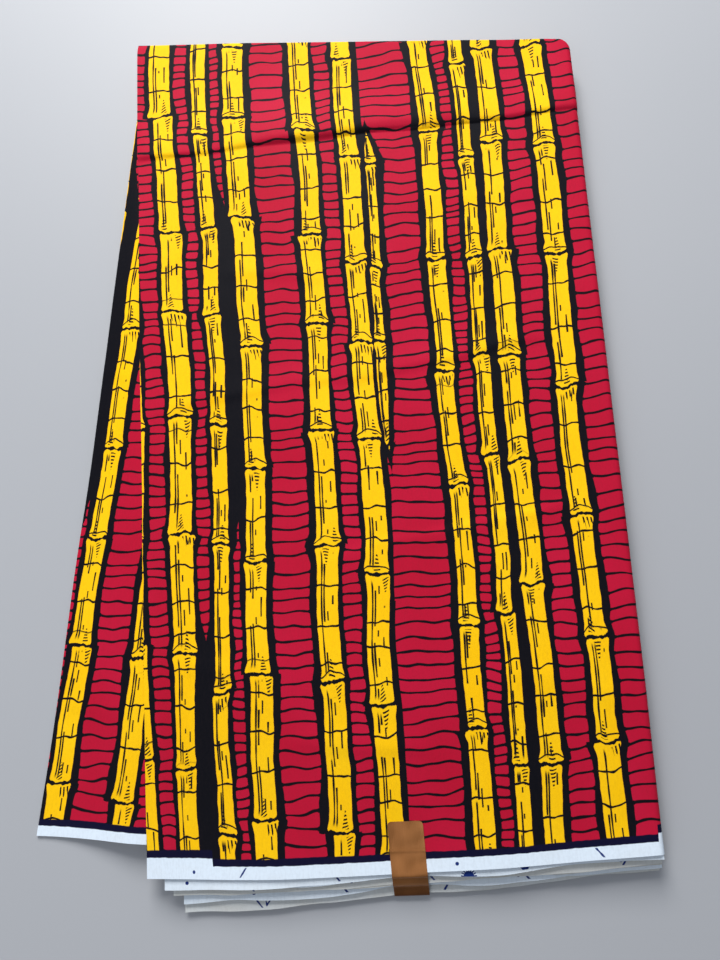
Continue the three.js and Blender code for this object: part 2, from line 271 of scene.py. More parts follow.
def grid_sheet(
    name: str,
    columns: int,
    rows: int,
    form: Callable[[np.ndarray, np.ndarray], Sheet],
    placing: Placing,
    thickness: float,
) -> bpy.types.Object:
    """Makes one sheet from a grid whose points are moved onto a form, then thickened inwards.

    Args:
        name: Name of the piece.
        columns: Cells across.
        rows: Cells along.
        form: Gives the sheet for shares across and along, both 0 to 1.
        placing: Where the plan lies in the frame.
        thickness: Thickness of the cloth, in millimetres.

    Returns:
        The finished sheet.
    """
    deselect_all()
    bpy.ops.mesh.primitive_grid_add(x_subdivisions=columns, y_subdivisions=rows, size=1.0)
    piece = bpy.context.object
    piece.name = name
    mesh = piece.data
    count = len(mesh.vertices)
    flat = np.zeros(count * 3)
    mesh.vertices.foreach_get("co", flat)
    shares = flat.reshape(-1, 3) + 0.5
    sheet = form(shares[:, 0], shares[:, 1])
    mesh.vertices.foreach_set("co", placing.to_frame(sheet.places).ravel())
    layer = mesh.uv_layers[0]
    layer.name = CLOTH_MAP
    corner = np.zeros(len(mesh.loops), dtype=np.int32)
    mesh.loops.foreach_get("vertex_index", corner)
    layer.data.foreach_set("uv", (sheet.cloth[corner] * MM).ravel())
    # Each point keeps its sheet's painted shade, which the selvedge's colour reads.
    tone = mesh.attributes.new(PLY_SHADE, "FLOAT", "POINT")
    tone.data.foreach_set("value", np.full(count, sheet.tone))
    mesh.update()
    make_active(piece)
    wall = piece.modifiers.new("wall", "SOLIDIFY")
    wall.thickness = thickness * MM
    wall.offset = -1.0
    bpy.ops.object.modifier_apply(modifier=wall.name)
    bpy.ops.object.shade_smooth_by_angle(angle=math.radians(50.0))
    return piece


def joined(name: str, parts: Sequence[bpy.types.Object]) -> bpy.types.Object:
    """Joins sheets into one piece.

    Args:
        name: Name of the joined piece.
        parts: The sheets.

    Returns:
        The piece.
    """
    deselect_all()
    for part in parts:
        part.select_set(True)
    bpy.context.view_layer.objects.active = parts[0]
    bpy.ops.object.join()
    piece = bpy.context.object
    piece.name = name
    return piece


class Signal:
    """A number that flows through a shader, with ordinary arithmetic."""

    def __init__(self, graph: "Graph", socket: bpy.types.NodeSocket) -> None:
        """Keeps the socket that the number comes from."""
        self.graph = graph
        self.socket = socket

    def __add__(self, other: "Number") -> "Signal":
        """Sum."""
        return self.graph.math("ADD", self, other)

    def __sub__(self, other: "Number") -> "Signal":
        """Difference."""
        return self.graph.math("SUBTRACT", self, other)

    def __rsub__(self, other: float) -> "Signal":
        """Difference from a plain number."""
        return self.graph.math("SUBTRACT", other, self)

    def __mul__(self, other: "Number") -> "Signal":
        """Product."""
        return self.graph.math("MULTIPLY", self, other)

    def __truediv__(self, other: float) -> "Signal":
        """Quotient by a plain number."""
        return self.graph.math("DIVIDE", self, other)

    def __abs__(self) -> "Signal":
        """Size without its sign."""
        return self.graph.math("ABSOLUTE", self)

    def part(self) -> "Signal":
        """What is left after the whole number."""
        return self.graph.math("FRACT", self)

    def over(self, low: "Number", high: "Number") -> "Signal":
        """Rises softly from 0 at low to 1 at high."""
        return self.graph.step(self, low, high)

    def under(self, low: "Number", high: "Number") -> "Signal":
        """Falls softly from 1 at low to 0 at high."""
        return 1.0 - self.graph.step(self, low, high)


Number = Signal | float
Colour = tuple[float, float, float]


class Graph:
    """Writes the nodes of one material, from arithmetic on signals."""

    def __init__(self, name: str) -> None:
        """Starts an empty material.

        Args:
            name: Name of the material.
        """
        self.material = bpy.data.materials.new(name)
        self.material.use_nodes = True
        self.tree = self.material.node_tree
        self.tree.nodes.clear()

    def node(self, kind: str, **settings: object) -> bpy.types.Node:
        """Adds a node and sets its own options.

        Args:
            kind: Type of the node.
            **settings: Options of the node.

        Returns:
            The node.
        """
        made = self.tree.nodes.new(kind)
        for key, value in settings.items():
            setattr(made, key, value)
        return made

    def feed(self, socket: bpy.types.NodeSocket, value: "Number | Colour") -> None:
        """Links a signal to a socket, or sets a plain value on it."""
        if isinstance(value, Signal):
            self.tree.links.new(value.socket, socket)
        elif isinstance(value, tuple) and len(value) == 3 and socket.type == "RGBA":
            socket.default_value = (*value, 1.0)
        else:
            socket.default_value = value

    def math(self, operation: str, *values: Number) -> Signal:
        """Adds one piece of arithmetic.

        Args:
            operation: Name of the operation.
            *values: Its inputs.

        Returns:
            The result.
        """
        made = self.node("ShaderNodeMath", operation=operation)
        for socket, value in zip(made.inputs, values):
            self.feed(socket, value)
        return Signal(self, made.outputs[0])

    def step(self, value: Signal, low: Number, high: Number) -> Signal:
        """A soft step from 0 to 1.

        Args:
            value: What is tested.
            low: Where the step starts.
            high: Where it ends.

        Returns:
            The step.
        """
        made = self.node("ShaderNodeMapRange", interpolation_type="SMOOTHSTEP")
        self.feed(made.inputs["Value"], value)
        self.feed(made.inputs["From Min"], low)
        self.feed(made.inputs["From Max"], high)
        return Signal(self, made.outputs["Result"])

    def most(self, *values: Signal) -> Signal:
        """The largest of several signals."""
        found = values[0]
        for value in values[1:]:
            found = self.math("MAXIMUM", found, value)
        return found

    def line(self, distance: Signal, half: Number, soft: float = 0.22) -> Signal:
        """Ink along a line.

        Args:
            distance: Distance from the line, of either sign.
            half: Half the line's thickness.
            soft: How far its edge is blurred to each side.

        Returns:
            1 on the line and 0 off it.
        """
        margin = half - soft if isinstance(half, Signal) else max(half - soft, 0.0)
        return abs(distance).under(margin, half + soft)

    def noise(self, across: Signal, along: Signal | None = None, detail: float = 1.0) -> Signal:
        """Smooth noise of one or two signals, about 0.2 to 0.8.

        Args:
            across: First coordinate, in units of the noise's grain.
            along: Second coordinate, if there is one.
            detail: How much finer noise is added.

        Returns:
            The noise.
        """
        made = self.node("ShaderNodeTexNoise", noise_dimensions="1D" if along is None else "2D")
        made.inputs["Scale"].default_value = 1.0
        made.inputs["Detail"].default_value = detail
        if along is None:
            self.feed(made.inputs["W"], across)
        else:
            pair = self.node("ShaderNodeCombineXYZ")
            self.feed(pair.inputs["X"], across)
            self.feed(pair.inputs["Y"], along)
            self.tree.links.new(pair.outputs["Vector"], made.inputs["Vector"])
        return Signal(self, made.outputs[0])

    def cells(self, place: Signal, uneven: float) -> tuple[Signal, Signal, Signal, Signal]:
        """Cuts a line into cells of uneven length.

        Args:
            place: Place on the line, in mean cell lengths.
            uneven: 0 for even cells, 1 for very uneven ones.

        Returns:
            The cell's middle, and three numbers from 0 to 1 that differ cell by cell.
        """
        made = self.node("ShaderNodeTexVoronoi", voronoi_dimensions="1D", feature="F1")
        self.feed(made.inputs["W"], place)
        made.inputs["Scale"].default_value = 1.0
        made.inputs["Randomness"].default_value = uneven
        split = self.node("ShaderNodeSeparateColor")
        self.tree.links.new(made.outputs["Color"], split.inputs[0])
        picks = [Signal(self, split.outputs[i]) for i in range(3)]
        return Signal(self, made.outputs["W"]), picks[0], picks[1], picks[2]

    def cell_edge(self, place: Signal, uneven: float) -> Signal:
        """Distance to the nearest border between the cells of such a line."""
        made = self.node("ShaderNodeTexVoronoi", voronoi_dimensions="1D", feature="DISTANCE_TO_EDGE")
        self.feed(made.inputs["W"], place)
        made.inputs["Scale"].default_value = 1.0
        made.inputs["Randomness"].default_value = uneven
        return Signal(self, made.outputs["Distance"])

    def table(self, place: Signal, rows: Sequence[tuple[float, tuple[float, ...]]]) -> list[Signal]:
        """Looks four columns up in a table of steps.

        Args:
            place: Place from 0 to 1.
            rows: Where each row starts, and its four values.

        Returns:
            The four values at that place.
        """
        made = self.node("ShaderNodeValToRGB")
        ramp = made.color_ramp
        ramp.interpolation = "CONSTANT"
        while len(ramp.elements) > 1:
            ramp.elements.remove(ramp.elements[-1])
        ramp.elements[0].position = 0.0
        ramp.elements[0].color = rows[0][1]
        for start, values in rows[1:]:
            ramp.elements.new(start).color = values
        self.feed(made.inputs[0], place)
        split = self.node("ShaderNodeSeparateColor")
        self.tree.links.new(made.outputs["Color"], split.inputs[0])
        return [Signal(self, split.outputs[i]) for i in range(3)] + [Signal(self, made.outputs["Alpha"])]

    def blend(self, share: Number, under: "Signal | Colour", over: "Signal | Colour") -> Signal:
        """Lays one colour over another.

        Args:
            share: How much of the upper colour shows.
            under: The lower colour.
            over: The upper colour.

        Returns:
            The mixed colour.
        """
        made = self.node("ShaderNodeMix", data_type="RGBA")
        self.feed(made.inputs[0], share)
        self.feed(made.inputs[6], under)
        self.feed(made.inputs[7], over)
        return Signal(self, made.outputs[2])

    def cloth_place(self) -> tuple[Signal, Signal]:
        """The spot of the cloth, in millimetres along its length and in from its selvedge."""
        source = self.node("ShaderNodeUVMap", uv_map=CLOTH_MAP)
        split = self.node("ShaderNodeSeparateXYZ")
        self.tree.links.new(source.outputs["UV"], split.inputs[0])
        across = Signal(self, split.outputs["X"]) * 1000.0
        return across, Signal(self, split.outputs["Y"]) * 1000.0

    def object_place(self) -> Signal:
        """Place of the shaded point on the piece, as a vector in metres."""
        return Signal(self, self.node("ShaderNodeTexCoord").outputs["Object"])

    def attribute(self, name: str) -> Signal:
        """A number kept on the piece's points."""
        return Signal(self, self.node("ShaderNodeAttribute", attribute_name=name).outputs["Fac"])

    def finish(
        self,
        colour: "Signal | Colour",
        roughness: Number,
        bump: Signal | None = None,
        bump_height: float = 0.05,
        bump_strength: float = 1.0,
        **shader: float,
    ) -> bpy.types.Material:
        """Ends the material in one shader.

        Args:
            colour: Base colour.
            roughness: Roughness.
            bump: Relief from 0 to 1, if there is one.
            bump_height: Height of the relief in millimetres.
            bump_strength: Share of the relief that is felt.
            **shader: Plain values for the shader's other sockets, by name with underscores.

        Returns:
            The material.
        """
        made = self.node("ShaderNodeBsdfPrincipled")
        self.feed(made.inputs["Base Color"], colour)
        self.feed(made.inputs["Roughness"], roughness)
        for key, value in shader.items():
            made.inputs[key.replace("_", " ")].default_value = value
        if bump is not None:
            relief = self.node("ShaderNodeBump")
            relief.inputs["Strength"].default_value = bump_strength
            relief.inputs["Distance"].default_value = bump_height * MM
            self.feed(relief.inputs["Height"], bump)
            self.tree.links.new(relief.outputs["Normal"], made.inputs["Normal"])
        output = self.node("ShaderNodeOutputMaterial")
        self.tree.links.new(made.outputs["BSDF"], output.inputs["Surface"])
        return self.material


@dataclass(frozen=True)
class Stalk:
    """One bamboo stalk of the print's repeat, and the strip of ground at its right.

    The strip is black between two places along the cloth, where its sides close in.
    """

    middle: float
    half_width: float
    rung_spacing: float
    closing: float = 0.0
    closed_from: float = -150.0
    closed_to: float = -150.0
    starts: float = -200.0


@dataclass(frozen=True)
class BambooLayout:
    """The repeat of the print along the cloth: stalks on a red ground, in millimetres."""

    repeat: float = 365.0
    first_strip: float = 31.4
    widest: float = 20.0
    tallest: float = 1000.0
    lowest: float = -200.0
    seed_range: float = 57.0
    stalks: tuple[Stalk, ...] = (
        Stalk(24.1, 7.3, 7.4),
        Stalk(57.9, 7.5, 7.2, closing=7.1, closed_to=175.0),
        Stalk(85.4, 5.1, 6.8, closing=5.6, closed_from=205.0, closed_to=510.0),
        Stalk(110.9, 7.4, 9.3, closing=1.6, closed_to=750.0),
        Stalk(160.9, 7.2, 7.7),
        Stalk(193.9, 7.4, 9.0, closing=1.6, closed_to=750.0),
        Stalk(208.4, 3.3, 9.0, closing=1.6, closed_to=750.0, starts=237.0),
        Stalk(252.9, 6.1, 6.5),
        Stalk(279.4, 4.8, 7.9, closing=5.6, closed_to=640.0),
        Stalk(298.4, 6.7, 8.5, closing=1.0, closed_to=750.0),
        Stalk(336.4, 6.9, 9.6, closing=1.0, closed_to=750.0),
    )

    def height_share(self, along: float) -> float:
        """Turns a place along the stalks into a number from 0 to 1."""
        return (along - self.lowest) / self.tallest

    def stalk_rows(self) -> list[tuple[float, tuple[float, ...]]]:
        """Table of the stalks: middle, half width, seed and start, by place in the repeat."""
        rows = []
        edge = 0.0
        for i, stalk in enumerate(self.stalks):
            start = (edge + stalk.middle - stalk.half_width) / 2.0 / self.repeat if i else 0.0
            edge = stalk.middle + stalk.half_width
            seed = (i * 0.37 + 0.74) % 1.0
            values = (
                stalk.middle / self.repeat,
                stalk.half_width / self.widest,
                seed,
                self.height_share(stalk.starts),
            )
            rows.append((start, values))
        return rows

    def gap_rows(self) -> list[tuple[float, tuple[float, ...]]]:
        """Table of the strips: closing, rung spacing and the closed stretch, by place."""
        rows = []
        for stalk in (self.stalks[-1], *self.stalks):
            values = (
                stalk.closing / self.widest,
                stalk.rung_spacing / self.widest,
                self.height_share(stalk.closed_from),
                self.height_share(stalk.closed_to),
            )
            rows.append((stalk.middle / self.repeat if rows else 0.0, values))
        return rows


@dataclass(frozen=True)
class WaxPrintCotton:
    """Waxed plain-weave cotton, printed with bamboo stalks, and its plain white selvedge."""

    layout: BambooLayout = BambooLayout()
    red: Colour = (0.44, 0.006, 0.026)
    red_light: Colour = (0.53, 0.010, 0.046)
    yellow: Colour = (0.96, 0.52, 0.002)
    yellow_light: Colour = (0.98, 0.60, 0.008)
    black: Colour = (0.005, 0.005, 0.008)
    navy: Colour = (0.005, 0.005, 0.026)
    white: Colour = (0.74, 0.84, 0.95)
    shaded_white: Colour = (0.58, 0.58, 0.545)
    selvedge_width: float = 8.0
    border_end: float = 12.4
    notch_depth: float = 5.0
    notch_width: float = 44.0
    notch_step: float = 5.4
    notch_resumes: float = 330.5
    tick_repeat: float = 118.0
    tick_place: float = 61.0
    tick_from: float = 1.4
    tick_to: float = 7.3
    dot_repeat: float = 173.0
    dot_place: float = 30.0
    dot_in: float = 4.4
    dot_radius: float = 1.15
    cog_place: float = 733.0
    cog_radius: float = 3.4
    cog_teeth: float = 17.0
    tooth_length: float = 1.7
    ink_blue: Colour = (0.01, 0.03, 0.17)
    internode: float = 84.0
    ring_spacing: float = 25.0
    outline: float = 3.5
    thread: float = 0.42

    def material(self) -> bpy.types.Material:
        """Builds the material.

        Returns:
            The printed cotton.
        """
        graph = Graph("wax_print_cotton")
        across, along = graph.cloth_place()
        printed = self.printed(graph, across, along)
        edged = self.with_border(graph, printed, across, along)
        mottle = graph.noise(across / 2.1, along / 2.1, detail=2.0)
        warp = graph.math("SINE", across * (2.0 * math.pi / self.thread))
        weft = graph.math("SINE", along * (2.0 * math.pi / self.thread))
        slub = graph.noise(across / 1.3, along / 6.0, detail=2.0)
        dulled = (mottle - 0.5) * 0.12 + (slub - 0.5) * 0.14 + 0.02
        tinted = graph.blend(dulled, edged, (0.03, 0.02, 0.02))
        relief = warp * weft * 0.25 + slub * 0.9
        sheen_patch = graph.noise(across / 90.0, along / 130.0)
        rough = sheen_patch * 0.16 + 0.50
        return graph.finish(
            tinted, rough, relief, bump_height=0.06, bump_strength=0.5,
            Specular_IOR_Level=0.05, Sheen_Weight=0.01, Sheen_Roughness=0.4,
        )

    def printed(self, graph: Graph, across: Signal, along: Signal) -> Signal:
        """Draws the bamboo print.

        Args:
            graph: The material's nodes.
            across: Place along the cloth's length.
            along: Place in from the selvedge.

        Returns:
            Colour of the print.
        """
        sway = (graph.noise(across / 150.0, along / 190.0) - 0.5) * 9.0
        shiver = (graph.noise(across / 40.0, along / 52.0) - 0.5) * 2.6
        swayed = across + sway + shiver
        cell = ((swayed + self.layout.first_strip) / self.layout.repeat).part()
        middle, half, pick, start = graph.table(cell, self.layout.stalk_rows())
        closing, spacing, low, high = graph.table(cell, self.layout.gap_rows())
        seed = pick * self.layout.seed_range
        grown_from = start * self.layout.tallest + self.layout.lowest
        shoot = start.over(0.22, 0.23)
        grown = along.over(grown_from, grown_from + 80.0) * (1.0 - shoot * along.over(505.0, 545.0))
        wave = (graph.noise(swayed / 12.5 + seed, along / 45.0) - 0.5) * 7.5
        wavy = along + wave
        place = wavy / self.internode + seed
        knot, first, second, third = graph.cells(place, 0.8)
        knot_distance = graph.cell_edge(place, 0.8) * self.internode
        run = place - knot
        off = (cell - middle) * self.layout.repeat
        off = off + (second - 0.5) * 1.3 + run * (third - 0.5) * 3.2
        at_right = off.over(-0.3, 0.3)
        lip = (first + (third - first) * at_right) * 1.9 + 0.2
        flare = knot_distance.under(1.0, 10.0) * lip - knot_distance.under(0.4, 2.8) * 1.0
        absent = (1.0 - grown) * 4.0
        core = half * self.layout.widest * (first * 0.14 + 0.93)
        body = (core + flare) * grown - absent
        ragged = (graph.noise(across / 7.0, along / 9.0) - 0.5) * 1.0
        edge = abs(off) + ragged
        on_stalk = edge.under(body - 0.2, body + 0.2)
        swell = (graph.noise(along / 38.0 + seed + at_right * 5.0) - 0.5) * 4.0
        swell = swell + knot_distance.under(0.0, 12.0) * (lip * 0.8 + 0.7)
        closed_from = low * self.layout.tallest + self.layout.lowest
        closed_to = high * self.layout.tallest + self.layout.lowest
        closed = along.over(closed_from, closed_from + 50.0) * along.under(closed_to - 50.0, closed_to)
        closed = closed * closing * self.layout.widest
        reach = (core + swell + self.outline) * grown - absent + closed
        band = edge.under(reach - 0.2, reach + 0.2)
        beside_shoot = shoot * grown.under(0.70, 0.74) * (off - swell * 0.4).under(-2.4, -2.0)
        band = graph.most(band, beside_shoot)
        rungs = self.rungs(graph, swayed, along, spacing * self.layout.widest, edge - reach)
        marks = self.stalk_marks(graph, off, wavy, along, body, seed, knot_distance, run, first, third)
        ground = graph.blend(graph.noise(across / 60.0, along / 75.0), self.red, self.red_light)
        cane = graph.blend(graph.noise(across / 34.0, along / 50.0), self.yellow, self.yellow_light)
        base = graph.blend(on_stalk, ground, cane)
        ink = graph.most(band, rungs) * (1.0 - on_stalk)
        return graph.blend(ink + on_stalk * marks, base, self.black)

    def rungs(self, graph: Graph, across: Signal, along: Signal, spacing: Signal, clear: Signal) -> Signal:
        """Thin wavy black lines across the red ground.

        Args:
            graph: The material's nodes.
            across: Place along the cloth's length, with the print's sway.
            along: Place in from the selvedge.
            spacing: Mean distance between the lines, which also makes each strip differ.
            clear: Distance from the stalk's black outline.

        Returns:
            Ink of the lines.
        """
        seed = spacing * 13.7
        bend = (graph.noise(across / 25.0 + seed, along / 34.0) - 0.5) * 7.5
        place = graph.math("DIVIDE", along + bend, spacing) + seed
        distance = graph.math("MULTIPLY", graph.cell_edge(place, 0.48), spacing)
        root = clear.under(0.0, 1.3) * 0.5
        half = graph.noise(across / 9.0, along / 12.0) * 0.55 + root + 0.52
        return graph.line(distance, half)

    def stalk_marks(
        self, graph: Graph, off: Signal, wavy: Signal, along: Signal, body: Signal, seed: Signal,
        knot_distance: Signal, run: Signal, first: Signal, third: Signal,
    ) -> Signal:
        """The knots, rings, streaks and hatching drawn in black on a stalk.

        Args:
            graph: The material's nodes.
            off: Distance from the stalk's middle.
            wavy: Place along the stalk, wavy across it.
            along: Place along the stalk.
            body: Half the stalk's width.
            seed: Differs stalk by stalk.
            knot_distance: Distance to the nearest knot.
            run: Place within the stretch between knots, below zero in its nearer half.
            first: Differs stretch by stretch.
            third: Differs stretch by stretch.

        Returns:
            Ink of all the marks.
        """
        thick = graph.noise(off / 3.0 + seed, along / 20.0) * 2.3 - 0.05
        knot = graph.line(knot_distance, thick)
        near_half = run.under(-0.01, 0.01)
        arch = off * off * 0.045
        lip = graph.line(knot_distance + arch - third * 2.4 - 4.6, 0.55) * near_half
        lip = lip * third.over(0.3, 0.32) * knot_distance.under(6.8, 7.2)
        ring_place = wavy / self.ring_spacing + seed * 1.7
        ring_distance = graph.cell_edge(ring_place, 0.75) * self.ring_spacing
        ring_half = graph.noise(off / 4.0, along / 9.0) * 0.6 + 0.40
        ring = graph.line(ring_distance, ring_half) * knot_distance.over(9.0, 10.5)
        far_from_knot = knot_distance.over(3.0, 7.0)
        pen = graph.noise(along / 16.0 + seed * 1.9) * 0.6 + 0.26
        streaks = [
            graph.line(off + body * 0.54, pen) * graph.noise(along / 52.0 + seed * 1.3).over(0.37, 0.39),
            graph.line(off + body * 0.30, pen) * graph.noise(along / 30.0 + seed * 2.1).over(0.45, 0.46),
            graph.line(off - body * 0.02, 0.5) * graph.noise(along / 15.0 + seed * 3.7).over(0.61, 0.62),
            graph.line(off - body * 0.52, pen) * graph.noise(along / 24.0 + seed * 4.3).over(0.60, 0.61),
        ]
        streak = graph.most(*streaks) * far_from_knot
        far_half = 1.0 - near_half
        spot = (first - 0.5) * near_half * 1.3 - (third - 0.5) * far_half * 1.3
        slant = (third - 0.5) * 0.5
        taper = (16.0 - knot_distance) * 0.17
        clear = knot_distance.over(2.4, 3.0)
        strokes = (wavy / 2.3 + off * slant).part().under(0.42, 0.56)
        stem_end = far_half * third.over(0.62, 0.63)
        comb = graph.line(off - body * spot, taper, soft=0.3) * strokes * clear
        comb = comb * knot_distance.under(14.0, 14.6) * (1.0 - stem_end)
        length = graph.noise(off / 1.8 + seed, along / 60.0) * 16.0
        stems = (off / 2.5 + along * 0.03 + seed).part().under(0.40, 0.52)
        stems = stems * clear * graph.math("SUBTRACT", length, knot_distance).over(0.0, 0.6)
        side = graph.line(off + body * (spot - 0.1), body * 0.55)
        stems = stems * side * stem_end
        return graph.most(knot, lip, ring, streak, comb, stems)

    def with_border(self, graph: Graph, printed: Signal, across: Signal, along: Signal) -> Signal:
        """Lays the navy border and the white selvedge with its printer's ticks over the print.

        Args:
            graph: The material's nodes.
            printed: Colour of the print.
            across: Place along the cloth's length.
            along: Place in from the selvedge.

        Returns:
            Colour of the whole cloth.
        """
        tremble = (graph.noise(across / 5.0, along / 7.0) - 0.5) * 0.7
        place = along + tremble
        repeat_place = (across / self.layout.repeat).part() * self.layout.repeat
        in_notch = repeat_place.under(self.notch_width - 0.2, self.notch_width + 0.2)
        resumed = repeat_place.over(self.notch_resumes - 0.2, self.notch_resumes + 0.2)
        in_notch = graph.most(in_notch, resumed)
        border = (graph.noise(across / 70.0) - 0.5) * 2.0 + in_notch * self.notch_step + self.border_end
        navy = graph.blend(place.under(border - 0.3, border + 0.3), printed, self.navy)
        limit = in_notch * self.notch_depth + self.selvedge_width
        selvedge = place.under(limit - 0.25, limit + 0.25)
        lean = graph.noise(across / 90.0).over(0.49, 0.51) * 1.5 - 0.8
        leaning = (across - along * lean) / self.tick_repeat
        tick_place = leaning.part() * self.tick_repeat - self.tick_place
        tick_half = graph.noise(across / 3.0, along / 4.0) * 0.7 + 0.35
        tick = graph.line(tick_place, tick_half) * along.over(self.tick_from - 0.2, self.tick_from + 0.2)
        tick = tick * along.under(self.tick_to - 0.3, self.tick_to + 0.3)
        dot_across = (across / self.dot_repeat).part() * self.dot_repeat - self.dot_place
        dot_along = along - self.dot_in
        dot_reach = graph.math("SQRT", dot_across * dot_across + dot_along * dot_along)
        dot = dot_reach.under(self.dot_radius - 0.2, self.dot_radius + 0.2)
        cog_across = across - self.cog_place
        cog_reach = graph.math("SQRT", cog_across * cog_across + along * along)
        turn = graph.math("ARCTAN2", along, cog_across)
        teeth = graph.math("SINE", turn * self.cog_teeth).over(-0.2, 0.4) * self.tooth_length
        teeth = teeth + self.cog_radius
        cog = cog_reach.under(teeth - 0.2, teeth + 0.2)
        # Painted shade: each ply's share of shaded white, with a random uneven tone added on top.
        tone = graph.attribute(PLY_SHADE) + (graph.noise(across / 25.0, along / 9.0) - 0.5) * 0.3
        plain = graph.blend(tone, self.white, self.shaded_white)
        ticked = graph.blend(graph.most(tick, dot, cog), plain, self.ink_blue)
        return graph.blend(selvedge, navy, ticked)


@dataclass(frozen=True)
class FoilPaper:
    """Copper-brown satin paper with a faint brushed grain, and painted shade where the band turns down."""

    copper: Colour = (0.47, 0.19, 0.055)
    deep: Colour = (0.14, 0.047, 0.013)
    # Where the painted shade of the band's turn starts and where it reaches full strength, in millimetres
    # from the band's far end.
    turn_start: float = 29.0
    turn_end: float = 43.0

    def material(self) -> bpy.types.Material:
        """Builds the material.

        Returns:
            The paper.
        """
        graph = Graph("foil_paper")
        across, along = graph.cloth_place()
        grain = graph.noise(across / 0.5, along / 14.0, detail=3.0)
        cloud = graph.noise(across / 16.0, along / 13.0)
        # Painted shade: the band darkens from where it turns down over the near edge, mixed with random
        # clouding.
        painted_turn_shade = along.over(self.turn_start, self.turn_end) * 0.75
        colour = graph.blend(cloud * 0.4 + grain * 0.15 + painted_turn_shade, self.copper, self.deep)
        worn = graph.line(along - self.turn_start, 0.3)
        marked = graph.blend(worn * 0.15, colour, (0.55, 0.34, 0.18))
        rough = grain * 0.2 + 0.24
        relief = grain * 0.3 + graph.noise(across / 5.0, along / 7.0)
        return graph.finish(marked, rough, relief, bump_height=0.12, bump_strength=0.6, Metallic=0.55)


@dataclass(frozen=True)
class PaleFloor:
    """Plain pale matt floor."""

    colour: Colour = (0.41, 0.425, 0.455)

    def material(self) -> bpy.types.Material:
        """Builds the material.

        Returns:
            The floor's finish.
        """
        graph = Graph("pale_floor")
        place = graph.object_place()
        made = graph.node("ShaderNodeTexNoise")
        made.inputs["Scale"].default_value = 3.0
        graph.tree.links.new(place.socket, made.inputs["Vector"])
        tint = graph.blend(Signal(graph, made.outputs[0]) * 0.4, self.colour, (0.37, 0.385, 0.415))
        return graph.finish(tint, 0.5, Specular_IOR_Level=0.3)


def dress(piece: bpy.types.Object, finish: bpy.types.Material, slot: str, *nodes: str) -> None:
    """Gives a piece its finish and ties it to the part.

    Args:
        piece: The piece.
        finish: Its material.
        slot: The record's slot that it takes its finish from; not used.
        *nodes: The solids that it stands for.
    """
    piece.data.materials.clear()
    piece.data.materials.append(finish)
    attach(piece, "root")
    if nodes:
        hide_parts(*nodes)
    LOG.info("%s: %d faces", piece.name, len(piece.data.polygons))


COTTON_SLOT = "wax_print_cotton"
SELVEDGE_SLOT = "white_selvedge"


